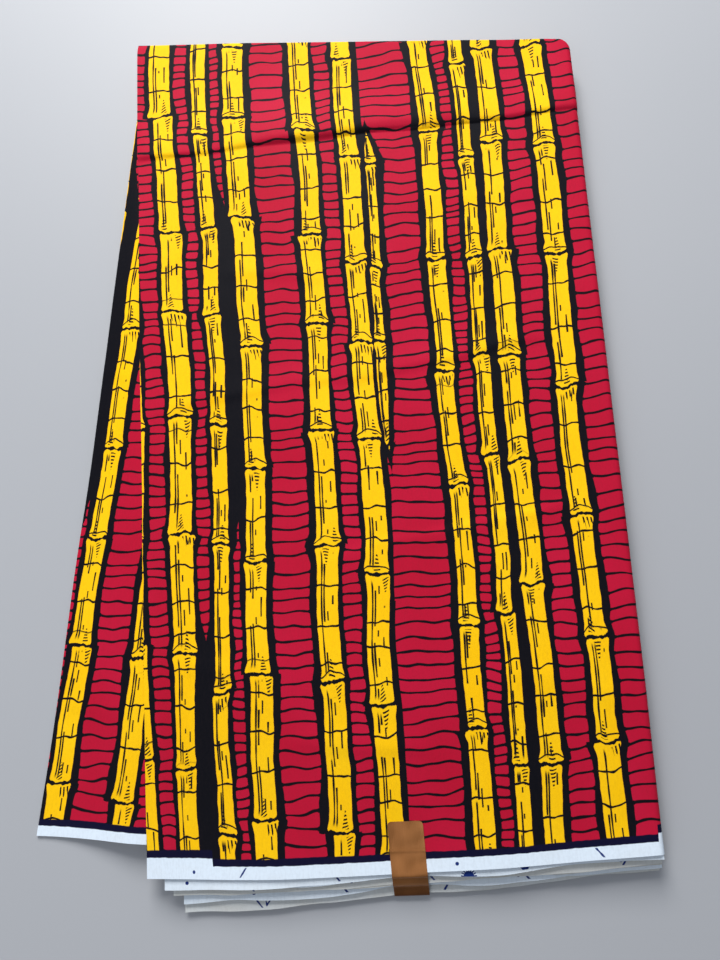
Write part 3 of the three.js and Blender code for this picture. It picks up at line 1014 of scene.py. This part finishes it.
@dataclass
class TopLeaf:
    """The uppermost doubled leaf, with its width fold at the far end and its fold at the right."""

    stack: Stack
    placing: Placing
    ply: float = 0.4
    roll_radius: float = 4.2
    skirt: float = 3.4
    roll_fade: float = 34.0
    corner_radius: float = 9.0
    corner_span: float = 24.0
    corner_pull: float = 0.8
    left_corner_pull: float = 0.17
    fold_radius: float = 0.75
    tail: float = 14.0
    flat_columns: float = 0.88
    flat_rows: float = 0.93
    fold_rows: float = 0.97
    far_shift: float = -9.0
    far_shift_from: float = 330.0
    far_shift_reach: float = 270.0
    near_shift: float = 12.0
    near_shift_width: float = 40.0
    near_shift_reach: float = 190.0
    dense_row: float = 0.815
    dense_width: float = 0.024
    dense_gain: float = 3.0
    creases: tuple[Crease, ...] = (
        Crease((-176.0, 517.0), (176.0, 524.0), 1.7, 24.0, 4.2, wobble=1.2, fade=0.04, sharp_foot=True),
        Crease((-120.0, 522.0), (130.0, 528.0), 2.4, 26.0, 8.0, wobble=1.2, fade=0.34, sharp_foot=True),
        Crease((-174.0, 310.0), (140.0, 346.0), 1.0, 10.0, 3.4, wobble=2.0, fade=0.16),
        Crease((-60.0, 192.0), (150.0, 232.0), 0.9, 3.4, 9.0, wobble=2.0),
        Crease((-110.0, 415.0), (-20.0, 404.0), 0.6, 8.0, 5.0),
        Crease((-80.0, 82.0), (40.0, 66.0), 0.7, 9.0, 6.0),
        Crease((-162.0, 137.0), (-92.0, 124.0), 0.55, 7.0, 5.0),
        Crease((20.0, 452.0), (160.0, 438.0), -0.45, 9.0, 7.0, wobble=3.0),
        Crease((-150.0, 236.0), (-30.0, 262.0), -0.4, 8.0, 8.0, wobble=3.0),
        Crease((60.0, 120.0), (165.0, 96.0), 0.45, 7.0, 9.0),
        Crease((70.0, 560.0), (90.0, 380.0), 0.35, 10.0, 7.0, wobble=4.0),
        Crease((-95.0, 590.0), (-70.0, 420.0), 0.3, 9.0, 9.0, wobble=4.0),
    )

    def surface(self, x: np.ndarray, y: np.ndarray) -> np.ndarray:
        """Height of the leaf's upper face with its creases and slow waves.

        Args:
            x: Plan places across.
            y: Plan places along.

        Returns:
            Heights above the floor.
        """
        height = self.stack.top(x, y)
        for crease in self.creases:
            height = height + crease.at(x, y)
        near = 1.0 - smooth(y / 40.0)
        height = height + 0.22 * waver(x, y, 135.0, 0.4) + 0.10 * waver(x, y, 47.0, 2.0)
        return height + 0.5 * near * waver(x, 0.3 * y, 64.0, 1.1)

    def packed_rows(self, rows: np.ndarray) -> np.ndarray:
        """Packs the rows closer together where the sharp crease runs.

        Args:
            rows: Even shares along.

        Returns:
            Shares that are denser there.
        """
        places = np.linspace(0.0, 1.0, 2001)
        density = 1.0 + self.dense_gain * np.exp(-(((places - self.dense_row) / self.dense_width) ** 2))
        counted = np.cumsum(density)
        counted = (counted - counted[0]) / (counted[-1] - counted[0])
        return np.interp(rows, counted, places)

    def print_shift(self, across: np.ndarray, along: np.ndarray) -> np.ndarray:
        """How far the stalks lean to the right of even cloth, since the folds run askew to them.

        Args:
            across: Distances from the left edge.
            along: Distances from the near edge.

        Returns:
            The shift.
        """
        from_right = np.clip(1.0 - across / (2.0 * self.stack.half_width), 0.0, 1.0)
        far = self.far_shift * from_right**1.3 * smooth((along - self.far_shift_from) / self.far_shift_reach)
        left = 1.0 - smooth(across / self.near_shift_width)
        return far + self.near_shift * left * (1.0 - smooth(along / self.near_shift_reach))

    def form(self, columns: np.ndarray, rows: np.ndarray) -> Sheet:
        """Places the upper ply: flat, rolled at the right and folded under at the far end.

        Args:
            columns: Shares across.
            rows: Shares along.

        Returns:
            The sheet.
        """
        stack, radius = self.stack, self.roll_radius
        rows = self.packed_rows(rows)
        flat_width = 2.0 * stack.half_width - radius
        quarter = radius * math.pi / 2.0
        past_flat = (columns - self.flat_columns) / (1.0 - self.flat_columns)
        distance = np.where(
            columns < self.flat_columns,
            flat_width * columns / self.flat_columns,
            flat_width + (quarter + self.skirt) * past_flat,
        )
        flat_x = np.minimum(distance, flat_width) - stack.half_width
        near = stack.near_edge(flat_x)
        length = stack.far_edge(flat_x) - self.fold_radius - near
        arc = math.pi * self.fold_radius
        run = np.where(
            rows < self.flat_rows,
            length * rows / self.flat_rows,
            np.where(
                rows < self.fold_rows,
                length + arc * (rows - self.flat_rows) / (self.fold_rows - self.flat_rows),
                length + arc + self.tail * (rows - self.fold_rows) / (1.0 - self.fold_rows),
            ),
        )
        bend = np.clip((run - length) / self.fold_radius, 0.0, math.pi)
        back = np.maximum(run - length - arc, 0.0)
        y = near + np.minimum(run, length) + self.fold_radius * np.sin(bend) - back
        depth = self.fold_radius * (1.0 - np.cos(bend))
        turn = np.clip((distance - flat_width) / radius, 0.0, math.pi / 2.0)
        hang = np.maximum(distance - flat_width - quarter, 0.0)
        remaining = stack.far_edge(flat_x) - y
        fade = mix(0.2, 1.0, smooth(remaining / self.roll_fade))
        near_corner = np.clip(1.0 - remaining / self.corner_radius, 0.0, 1.0)
        corner = self.corner_radius * (1.0 - np.sqrt(1.0 - near_corner**2))
        at_right = smooth(1.0 - (stack.half_width - flat_x) / self.corner_span)
        x = flat_x + (radius - depth) * np.sin(turn) - self.corner_pull * corner * at_right
        at_left = smooth(1.0 - (flat_x + stack.half_width) / self.corner_span)
        x = x + self.left_corner_pull * corner * at_left - stack.lean(flat_x, y)
        drop = radius - (radius - depth) * np.cos(turn) + hang * fade
        z = self.surface(flat_x, y) - drop
        left = 1.0 - smooth((flat_x + stack.half_width) / 60.0)
        x = x + 0.8 * left * waver(0.0 * y, y, 170.0, 3.0)
        y = y + 0.5 * (1.0 - smooth(y / 60.0)) * waver(x, 0.0 * y, 120.0, 5.0)
        cloth = np.column_stack([distance - self.print_shift(distance, run), run])
        return Sheet(np.column_stack([x, y, z]), cloth)

    def under_form(self, columns: np.ndarray, rows: np.ndarray) -> Sheet:
        """Places the lower ply of the leaf, just inside the upper one.

        Args:
            columns: Shares across.
            rows: Shares along.

        Returns:
            The sheet.
        """
        stack = self.stack
        flat_x = mix(-stack.half_width + 1.4, stack.half_width - self.roll_radius - 0.5, columns)
        y = mix(stack.near_edge(flat_x) + 1.2, stack.far_edge(flat_x) - self.tail - 1.0, rows)
        sag = 0.25 * (1.0 - smooth(y / 25.0)) * (1.0 + waver(flat_x, y, 51.0, 7.0))
        z = self.surface(flat_x, y) - 2.0 * self.fold_radius + 0.35 - sag
        x = flat_x + 0.6 * waver(0.0 * y, y, 120.0, 6.0) * (1.0 - smooth(columns * 6.0))
        x = x - stack.lean(flat_x, y)
        cloth = np.column_stack([flat_x + stack.half_width + 90.0, y])
        # The lower ply's white selvedge is painted partly in shade, as it lies under the upper ply.
        return Sheet(np.column_stack([x, y, z]), cloth, tone=0.35)

    def build(self, finish: bpy.types.Material) -> None:
        """Makes both plies.

        Args:
            finish: The printed cotton.
        """
        upper = grid_sheet("top_leaf_upper_ply", 130, 370, self.form, self.placing, self.ply)
        under = grid_sheet("top_leaf_lower_ply", 70, 110, self.under_form, self.placing, self.ply)
        dress(upper, finish, COTTON_SLOT, "top_leaf")
        dress(under, finish, COTTON_SLOT, "top_leaf")


@dataclass
class SideFlap:
    """The skewed leaf that sticks out at the left, drooping from the stack to the floor."""

    stack: Stack
    placing: Placing
    near_left: tuple[float, float] = (-248.3, 22.4)
    near_inner: tuple[float, float] = (-131.0, 14.5)
    far_left: tuple[float, float] = (-162.5, 604.0)
    far_inner: tuple[float, float] = (-143.0, 601.0)
    hinge: float = -168.5
    tuck_run: float = 9.0
    tuck_edge: float = 15.3
    droop_reach: float = 74.0
    droop_power: float = 0.75
    ply: float = 0.4
    fold_radius: float = 0.5
    under_share: float = 0.30
    fold_share: float = 0.35
    print_start: float = 70.7
    print_lean: float = 0.021
    border_tuck: float = 1.4
    under_width: float = 0.62
    near_lift: float = 1.6
    creases: tuple[Crease, ...] = (
        Crease((-235.0, 110.0), (-172.0, 96.0), 0.7, 8.0, 5.0, wobble=1.5),
        Crease((-222.0, 232.0), (-172.0, 214.0), 0.6, 6.0, 8.0, wobble=1.5),
        Crease((-205.0, 352.0), (-170.0, 338.0), 0.5, 6.0, 6.0, wobble=1.0),
    )

    def form(self, columns: np.ndarray, rows: np.ndarray) -> Sheet:
        """Places the leaf: its lower ply, the fold at its left edge and its upper ply.

        Args:
            columns: Shares across, from the lower ply's inner end to the upper ply's.
            rows: Shares along.

        Returns:
            The sheet.
        """
        left_x = mix(self.near_left[0], self.far_left[0], rows)
        inner_x = mix(self.near_inner[0], self.far_inner[0], rows)
        width = inner_x - left_x
        lower = columns < self.under_share
        upper_share = np.clip((columns - self.fold_share) / (1.0 - self.fold_share), 0.0, 1.0)
        under_inward = self.under_width * width * (1.0 - columns / self.under_share)
        inward = np.where(lower, under_inward, width * upper_share)
        turned = (columns - self.under_share) / (self.fold_share - self.under_share)
        bend = math.pi * (1.0 - np.clip(turned, 0.0, 1.0))
        x = left_x + inward - self.fold_radius * np.sin(bend)
        share = (x - left_x) / width
        left_y = mix(self.near_left[1], self.far_left[1], rows)
        inner_y = mix(self.near_inner[1], self.far_inner[1], rows)
        line = mix(left_y, inner_y, share)
        clear = smooth((x - self.hinge) / self.tuck_run) * (1.0 - rows)
        y = mix(line, np.maximum(line, self.tuck_edge), clear)
        out = np.clip((self.hinge - x) / self.droop_reach, 0.0, 1.0)
        carried = self.stack.top(np.maximum(x, -self.stack.half_width), y)
        tucked = carried - self.stack.leaf_wall - self.stack.gap
        free = smooth(out * 4.0)
        droop = (tucked - self.stack.flap_wall) * smooth(out**self.droop_power)
        z = tucked - droop
        for crease in self.creases:
            z = z + crease.at(x, y) * free
        lift = self.near_lift * free * (1.0 - smooth((y - 10.0) / 90.0)) * (1.0 - out)
        z = z + lift + 0.4 * free * waver(x, y, 88.0, 9.0) - self.fold_radius * (1.0 - np.cos(bend))
        z = np.maximum(z, self.ply + np.where(lower, 0.05, 0.25))
        x = x + 0.9 * waver(0.0 * y, y, 210.0, 2.0) * (1.0 - smooth(share * 2.0))
        edge = np.array(self.far_left) - np.array(self.near_left)
        edge = edge / np.hypot(*edge)
        near = np.array(self.near_inner) - np.array(self.near_left)
        near = near / np.hypot(*near)
        from_left = (x - self.near_left[0]) * edge[1] - (y - self.near_left[1]) * edge[0]
        from_near = (y - self.near_left[1]) * near[0] - (x - self.near_left[0]) * near[1]
        side = np.where(lower, -from_left, from_left)
        along = from_near + self.border_tuck
        cloth = np.column_stack([self.print_start + side - self.print_lean * from_near, along])
        return Sheet(np.column_stack([x, y, z]), cloth)

    def build(self, finish: bpy.types.Material) -> None:
        """Makes the leaf.

        Args:
            finish: The printed cotton.
        """
        flap = grid_sheet("side_flap_leaf", 96, 150, self.form, self.placing, self.ply)
        dress(flap, finish, COTTON_SLOT, "side_flap")


@dataclass
class LowerLeaves:
    """The folded edges of the fourteen leaves below, and the lowest leaf's underside."""

    stack: Stack
    placing: Placing
    leaves: int = 14
    inset: float = 3.4
    near_edge: float = 15.0
    corner_radius: float = 6.0
    band: float = 13.0
    ply: float = 0.3
    fill: float = 0.86
    tuck_start: float = -100.0
    tuck_run: float = 40.0
    path_steps: int = 220
    arc_share: float = 0.42
    cloth_across_step: float = 61.0
    cloth_along_start: float = 40.0
    cloth_along_step: float = 17.0

    def outline(self) -> tuple[np.ndarray, np.ndarray]:
        """The stack's edge in plan, from the near right corner round to the near left one.

        Returns:
            Even points along the edge, and the outward direction at each.
        """
        side = self.stack.half_width - self.inset
        far_right = np.array([side, float(self.stack.far_edge(side)) - self.inset])
        far_left = np.array([-side, float(self.stack.far_edge(-side)) - self.inset])
        near_right = np.array([side, self.near_edge])
        near_left = np.array([-side, self.near_edge])
        points = [near_right]
        for corner, before, after in ((far_right, near_right, far_left), (far_left, far_right, near_left)):
            start = corner + (before - corner) / np.linalg.norm(before - corner) * self.corner_radius
            end = corner + (after - corner) / np.linalg.norm(after - corner) * self.corner_radius
            for share in np.linspace(0.0, 1.0, 9):
                points.append((1 - share) ** 2 * start + 2 * share * (1 - share) * corner + share**2 * end)
        points.append(near_left)
        line = np.array(points)
        steps = np.concatenate([[0.0], np.cumsum(np.linalg.norm(np.diff(line, axis=0), axis=1))])
        even = np.linspace(0.0, steps[-1], self.path_steps + 1)
        path = np.column_stack([np.interp(even, steps, line[:, 0]), np.interp(even, steps, line[:, 1])])
        ahead = np.gradient(path, axis=0)
        ahead /= np.linalg.norm(ahead, axis=1)[:, None]
        return path, np.column_stack([ahead[:, 1], -ahead[:, 0]])

    def roof(self, x: np.ndarray, y: np.ndarray) -> np.ndarray:
        """Height that the lower leaves reach, lower where the skewed leaf is tucked in."""
        tucked = smooth((self.tuck_start - x) / self.tuck_run)
        lowered = (self.stack.flap_wall + self.stack.gap) * tucked
        return self.stack.top(x, y) - self.stack.leaf_wall - 2.0 * self.stack.gap - lowered

    def leaf_form(self, number: int) -> Callable[[np.ndarray, np.ndarray], Sheet]:
        """The form of one leaf's folded edge.

        Args:
            number: 0 for the lowest leaf.

        Returns:
            A function that places the edge.
        """
        path, outward = self.outline()
        stations = np.linspace(0.0, 1.0, self.path_steps + 1)

        def form(columns: np.ndarray, rows: np.ndarray) -> Sheet:
            """Places the edge.

            Args:
                columns: Shares around the fold, from the upper ply's inner end to the lower ply's.
                rows: Shares along the stack's edge.

            Returns:
                The sheet.
            """
            at_x = np.interp(rows, stations, path[:, 0])
            at_y = np.interp(rows, stations, path[:, 1])
            out_x = np.interp(rows, stations, outward[:, 0])
            out_y = np.interp(rows, stations, outward[:, 1])
            seed = 1.7 * number
            reach = 0.9 * waver(at_x, at_y, 310.0, seed) + 0.35 * waver(at_x, at_y, 74.0, seed + 2.0)
            reach = reach + 0.5 * math.sin(2.4 * number + 0.8) - 0.3
            pitch = self.roof(at_x, at_y) / self.leaves
            radius = pitch * self.fill / 2.0
            straight = (1.0 - self.arc_share) / 2.0
            before = np.clip(columns / straight, 0.0, 1.0)
            after = np.clip((columns - straight - self.arc_share) / straight, 0.0, 1.0)
            bend = math.pi * np.clip((columns - straight) / self.arc_share, 0.0, 1.0)
            inward = self.band * np.where(columns < 0.5, 1.0 - before, after)
            nose = radius * 1.25 * np.sin(bend)
            offset = reach - inward + nose - radius
            top = pitch * (number + 1) - 0.5 * pitch * (1.0 - self.fill)
            ripple = 0.10 * pitch * waver(at_x, at_y, 39.0, seed + 4.0)
            z = top - radius * (1.0 - np.cos(bend)) + ripple
            z = np.maximum(z, 0.02 if number else 0.0)
            x = at_x + out_x * offset
            y = at_y + out_y * offset
            around = np.where(columns < 0.5, -inward, inward) + radius * bend
            cloth = np.column_stack([
                at_x + out_x * around + self.stack.half_width + self.cloth_across_step * number,
                at_y + out_y * around + self.cloth_along_start + self.cloth_along_step * number,
            ])
            return Sheet(np.column_stack([x, y, z]), cloth)

        return form

    def underside_form(self, columns: np.ndarray, rows: np.ndarray) -> Sheet:
        """The lowest ply, flat on the floor.

        Args:
            columns: Shares across, from right to left, so that the sheet faces down.
            rows: Shares along.

        Returns:
            The sheet.
        """
        half = self.stack.half_width - self.inset - 4.0
        x = mix(half, -half, columns)
        y = mix(self.near_edge, self.stack.far_edge(x) - self.inset - 4.0, rows)
        cloth = np.column_stack([x + self.stack.half_width + self.cloth_across_step, y])
        return Sheet(np.column_stack([x, y, 0.0 * x]), cloth)

    def build(self, finish: bpy.types.Material) -> None:
        """Makes the folded edges and the underside.

        Args:
            finish: The printed cotton.
        """
        edges = []
        for number in range(self.leaves):
            name = f"lower_leaf_edge_{number + 1}"
            form = self.leaf_form(number)
            edges.append(grid_sheet(name, 12, self.path_steps, form, self.placing, self.ply))
        piece = joined("lower_leaves", edges)
        dress(piece, finish, COTTON_SLOT, "hidden_leaves")
        under = grid_sheet("lowest_ply", 20, 36, self.underside_form, self.placing, self.ply)
        dress(under, finish, COTTON_SLOT, "hidden_leaves")


@dataclass(frozen=True)
class SelvedgeStep:
    """One step of white selvedge edges: its ends, and how far it lies out at three places."""

    left: float
    right: float
    out_left: float
    out_middle: float
    out_right: float
    wave: float
    phase: float
    # Share of painted shade on this step's white selvedge.
    tone: float


@dataclass
class SelvedgeEdges:
    """The white selvedge edges that step out under the top leaf at the near end."""

    stack: Stack
    placing: Placing
    root: float = 14.0
    ply: float = 0.32
    plies_per_step: int = 4
    pinch_pull: float = 2.2
    cloth_start: float = 690.0
    cloth_per_step: float = 411.0
    cloth_per_ply: float = 1783.0
    steps: tuple[SelvedgeStep, ...] = (
        SelvedgeStep(-156.0, 166.0, 11.3, 11.2, 2.8, 1.0, -0.9, tone=0.15),
        SelvedgeStep(-151.0, 165.5, 16.2, 15.0, 7.5, 0.7, 2.0, tone=0.85),
        SelvedgeStep(-145.0, 166.0, 22.0, 18.2, 10.5, 0.8, 4.5, tone=0.15),
        SelvedgeStep(-145.0, 165.5, 28.8, 23.4, 12.4, 0.9, 6.1, tone=0.75),
    )

    def out(self, number: int, x: np.ndarray) -> np.ndarray:
        """How far a step lies out from the plan's zero line, at x.

        Args:
            number: 0 for the uppermost step.
            x: Plan places across.

        Returns:
            Distances towards the viewer.
        """
        step = self.steps[number]
        share = (x - step.left) / (step.right - step.left)
        first = mix(step.out_left, step.out_middle, share * 2.0)
        second = mix(step.out_middle, step.out_right, share * 2.0 - 1.0)
        ends = smooth(share * 6.0) * smooth((1.0 - share) * 6.0)
        wave = step.wave * np.sin(x * 0.045 + step.phase) * ends
        return np.where(share < 0.5, first, second) + wave - self.pinch_pull * self.stack.pinch(x)

    def top(self, number: int, x: np.ndarray) -> np.ndarray:
        """Height of a step's upper face, at x."""
        stack = self.stack
        room = stack.top(x, 0.0 * x) - stack.leaf_wall - stack.gap - stack.floor_gap
        return stack.floor_gap + room * (len(self.steps) - number) / len(self.steps)

    def ply_form(self, number: int, ply: int) -> Callable[[np.ndarray, np.ndarray], Sheet]:
        """The form of one thin ply of a step.

        Args:
            number: 0 for the uppermost step.
            ply: 0 for the step's uppermost ply.

        Returns:
            A function that places the ply.
        """
        step = self.steps[number]
        seed = 2.3 * number + 0.9 * ply

        def form(columns: np.ndarray, rows: np.ndarray) -> Sheet:
            """Places the ply.

            Args:
                columns: Shares across.
                rows: Shares from the free edge inwards.

            Returns:
                The sheet.
            """
            left = step.left + 2.4 * ply * (0.5 + 0.5 * math.sin(4.0 * seed))
            right = step.right - 0.5 * ply * (0.5 + 0.5 * math.cos(3.0 * seed))
            x = mix(left, right, columns)
            inset = 0.35 * ply + 1.3 * waver(x, 0.0 * x, 83.0, seed) + 0.4 * waver(x, 0.0 * x, 31.0, seed)
            edge = -(self.out(number, x) - np.maximum(inset, -0.8))
            y = mix(edge, self.root, rows)
            below = (len(self.steps) - number) * self.plies_per_step
            pitch = (self.top(number, x) - self.stack.floor_gap) / below
            free = (1.0 - smooth((y - edge) / 9.0)) * (1.0 - 0.8 * self.stack.pinch(x))
            curl = (0.55 * waver(x, 0.0 * x, 71.0, seed + 1.0) + 0.2 * waver(x, 0.0 * x, 26.0, seed)) * free
            z = self.top(number, x) - pitch * ply + (curl * 0.75 if ply == 0 else curl * 0.4)
            z = np.maximum(z, self.ply + 0.05)
            shift = self.cloth_start + self.cloth_per_step * number + self.cloth_per_ply * ply
            cloth = np.column_stack([x + shift, y - edge])
            # Plies below a step's uppermost one get more painted shade.
            return Sheet(np.column_stack([x, y, z]), cloth, tone=step.tone * (1.0 if ply == 0 else 1.2))

        return form

    def build(self, finish: bpy.types.Material) -> None:
        """Makes each step as several thin plies.

        Args:
            finish: The cotton, white at its selvedge.
        """
        for number, step in enumerate(self.steps):
            plies = [
                grid_sheet(
                    f"selvedge_step_{number + 1}_ply_{ply + 1}", 150, 8,
                    self.ply_form(number, ply), self.placing, self.ply,
                )
                for ply in range(self.plies_per_step)
            ]
            piece = joined(f"selvedge_step_{number + 1}", plies)
            dress(piece, finish, SELVEDGE_SLOT, f"selvedge_ply_{number + 1}")
            depth = (step.out_left + step.out_middle * 2.0 + step.out_right) / 4.0 + self.root
            width = step.right - step.left
            flat = (width * MM, depth * self.plies_per_step * MM)


@dataclass
class PaperSeal:
    """The paper band over the near edge: over the leaf, down the steps, a short way under."""

    edges: SelvedgeEdges
    placing: Placing
    half_width: float = 11.5
    tilt: float = 0.03
    top_reach: float = 26.0
    tail: float = 16.0
    paper: float = 0.22
    lift: float = 0.55
    corner: float = 2.2
    length: float = 60.0

    def section(self) -> np.ndarray:
        """Points of the band's path, from its far end over the edge to its hidden end.

        Returns:
            Rows of y and z.
        """
        stack = self.edges.stack
        x = np.array([stack.seal_middle])
        leaf = [
            (self.top_reach * share, float(stack.top(x, x * 0.0 + self.top_reach * share)[0]) + self.lift)
            for share in (1.0, 0.66, 0.33, 0.06)
        ]
        points = leaf + [(float(stack.near_edge(x)[0]) - 1.2, float(stack.top(x, x * 0.0)[0]) + 0.35)]
        last = len(self.edges.steps) - 1
        for number in range(last + 1):
            out = float(self.edges.out(number, x)[0])
            points.append((-out - 0.9, float(self.edges.top(number, x)[0]) + 0.6))
        front = -float(self.edges.out(last, x)[0])
        points.append((front - 1.5, float(self.edges.top(last, x)[0]) - 1.2))
        points.append((front - 1.0, 0.4))
        points.append((front + 0.8, 0.02))
        points.append((front + self.tail, 0.02))
        return np.array(points)

    def curve(self, shares: np.ndarray) -> np.ndarray:
        """Places on the band's path, as a smooth curve through its points.

        Args:
            shares: Places from 0 to 1.

        Returns:
            Rows of y and z.
        """
        points = self.section()
        spans = len(points) - 1
        place = np.clip(shares, 0.0, 1.0) * spans
        first = np.minimum(place.astype(int), spans - 1)
        t = (place - first)[:, None]
        a = points[np.maximum(first - 1, 0)]
        b = points[first]
        c = points[first + 1]
        d = points[np.minimum(first + 2, spans)]
        even = 2 * b + (c - a) * t + (2 * a - 5 * b + 4 * c - d) * t**2
        return 0.5 * (even + (3 * b - a - 3 * c + d) * t**3)

    def form(self, columns: np.ndarray, rows: np.ndarray) -> Sheet:
        """Places the band.

        Args:
            columns: Shares across.
            rows: Shares along, from its hidden end to its far end.

        Returns:
            The sheet.
        """
        at = self.curve(1.0 - rows)
        side = 2.0 * columns - 1.0
        from_end = (1.0 - rows) * self.length
        rounding = np.clip(1.0 - from_end / self.corner, 0.0, 1.0)
        narrowed = self.half_width - self.corner * (1.0 - np.sqrt(1.0 - rounding**2))
        x = self.edges.stack.seal_middle + narrowed * side - self.tilt * at[:, 0]
        cockle = 0.18 * waver(x * 3.0, at[:, 0] * 3.0, 38.0, 0.6) * smooth((at[:, 1] - 2.0) / 4.0)
        crease = 0.25 * np.exp(-(((at[:, 0] - 8.0) / 1.1) ** 2))
        z = np.maximum(at[:, 1] + cockle + crease + 0.25 * side**4 * smooth(at[:, 0] / 8.0), 0.02)
        cloth = np.column_stack([self.half_width * (side + 1.0), from_end])
        return Sheet(np.column_stack([x, at[:, 0], z]), cloth)

    def build(self, finish: bpy.types.Material) -> None:
        """Makes the band.

        Args:
            finish: The foil paper.
        """
        band = grid_sheet("paper_seal", 24, 120, self.form, self.placing, self.paper)
        dress(band, finish, "foil_paper", "seal_label")


class LightKind(Enum):
    """The studio's lamps, by what they do."""

    WINDOW = "window"
    FILL = "fill"


@dataclass(frozen=True)
class Lamp:
    """One soft lamp: where it hangs over the plan, its size in metres and its strength."""

    kind: LightKind
    place: tuple[float, float, float]
    size: float
    power: float
    colour: Colour


@dataclass
class Studio:
    """The pale floor, the soft lamps and the camera."""

    placing: Placing
    camera_place: tuple[float, float, float] = (16.7, 166.9, 513.7)
    camera_aim: tuple[float, float, float] = (-11.9, 251.6, 18.0)
    camera_lean: float = 3.257
    focal_pixels: float = 721.0
    picture_height: float = 960.0
    sensor: float = 36.0
    floor_size: float = 7.0
    floor_height: float = -0.0002
    lamp_target: tuple[float, float, float] = (0.0, 300.0, 0.0)
    far_sky: Colour = (0.38, 0.41, 0.46)
    near_sky: Colour = (0.10, 0.105, 0.115)
    sky_turn: tuple[float, float] = (-0.8, 0.8)
    lamps: tuple[Lamp, ...] = (
        Lamp(LightKind.WINDOW, (-250.0, 1950.0, 1250.0), 0.95, 62.0, (1.0, 0.985, 0.96)),
        Lamp(LightKind.FILL, (-900.0, -500.0, 1500.0), 1.6, 8.0, (0.93, 0.96, 1.0)),
    )

    def in_frame(self, place: tuple[float, float, float]) -> Vector:
        """Turns a place over the plan into frame metres."""
        return Vector(self.placing.to_frame(np.array(place)))

    def add_camera(self) -> None:
        """Stands the camera where the photograph was taken from."""
        place = self.in_frame(self.camera_place)
        ahead = (self.in_frame(self.camera_aim) - place).normalized()
        lean = math.radians(self.camera_lean)
        right = ahead.cross(Vector((math.sin(lean), math.cos(lean), 0.0))).normalized()
        up = right.cross(ahead)
        data = bpy.data.cameras.new("camera")
        data.sensor_width = self.sensor
        data.lens = self.focal_pixels / self.picture_height * self.sensor
        data.clip_start = 0.01
        camera = bpy.data.objects.new("camera", data)
        turned = Matrix((right, up, -ahead)).transposed().to_4x4()
        camera.matrix_world = Matrix.Translation(place) @ turned
        bpy.context.scene.collection.objects.link(camera)
        bpy.context.scene.camera = camera

    def add_lamps(self) -> None:
        """Hangs the soft lamps."""
        target = self.in_frame(self.lamp_target)
        for lamp in self.lamps:
            data = bpy.data.lights.new(lamp.kind.value, "AREA")
            data.shape = "SQUARE"
            data.size = lamp.size
            data.energy = lamp.power
            data.color = lamp.colour
            light = bpy.data.objects.new(lamp.kind.value, data)
            place = self.in_frame(lamp.place)
            aim = (target - place).to_track_quat("-Z", "Y")
            light.matrix_world = Matrix.Translation(place) @ aim.to_matrix().to_4x4()
            bpy.context.scene.collection.objects.link(light)

    def add_sky(self) -> None:
        """Lights the room evenly, brighter from the far side where the window is."""
        world = bpy.data.worlds.new("sky")
        world.use_nodes = True
        tree = world.node_tree
        place = tree.nodes.new("ShaderNodeTexCoord")
        split = tree.nodes.new("ShaderNodeSeparateXYZ")
        tree.links.new(place.outputs["Generated"], split.inputs[0])
        turn = tree.nodes.new("ShaderNodeMapRange")
        turn.interpolation_type = "SMOOTHSTEP"
        turn.inputs["From Min"].default_value = self.sky_turn[0]
        turn.inputs["From Max"].default_value = self.sky_turn[1]
        tree.links.new(split.outputs["Y"], turn.inputs["Value"])
        shade = tree.nodes.new("ShaderNodeMix")
        shade.data_type = "RGBA"
        shade.inputs[6].default_value = (*self.near_sky, 1.0)
        shade.inputs[7].default_value = (*self.far_sky, 1.0)
        tree.links.new(turn.outputs["Result"], shade.inputs[0])
        tree.links.new(shade.outputs[2], tree.nodes["Background"].inputs["Color"])
        bpy.context.scene.world = world

    def add_floor(self) -> None:
        """Lays the pale floor just under the cloth."""
        deselect_all()
        bpy.ops.mesh.primitive_plane_add(size=self.floor_size, location=(0.0, 0.0, self.floor_height))
        floor = bpy.context.object
        floor.name = "floor"
        bpy.ops.object.transform_apply(location=True, rotation=False, scale=True)
        floor.data.materials.append(PaleFloor().material())

    def build(self) -> None:
        """Sets up the whole studio."""
        self.add_camera()
        self.add_lamps()
        self.add_sky()
        self.add_floor()
        bpy.context.scene.view_settings.view_transform = "Standard"


def main() -> None:
    """Builds the folded cloth around its frame, in order."""
    logging.basicConfig(level=logging.INFO, format="%(name)s: %(message)s")
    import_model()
    stack = Stack()
    placing = Placing.from_frame(stack)
    Studio(placing).build()
    cotton = WaxPrintCotton().material()
    edges = SelvedgeEdges(stack, placing)
    TopLeaf(stack, placing).build(cotton)
    SideFlap(stack, placing).build(cotton)
    LowerLeaves(stack, placing).build(cotton)
    edges.build(cotton)
    PaperSeal(edges, placing).build(FoilPaper().material())
    LOG.info("all pieces are in place")


if __name__ == "__main__":
    main()
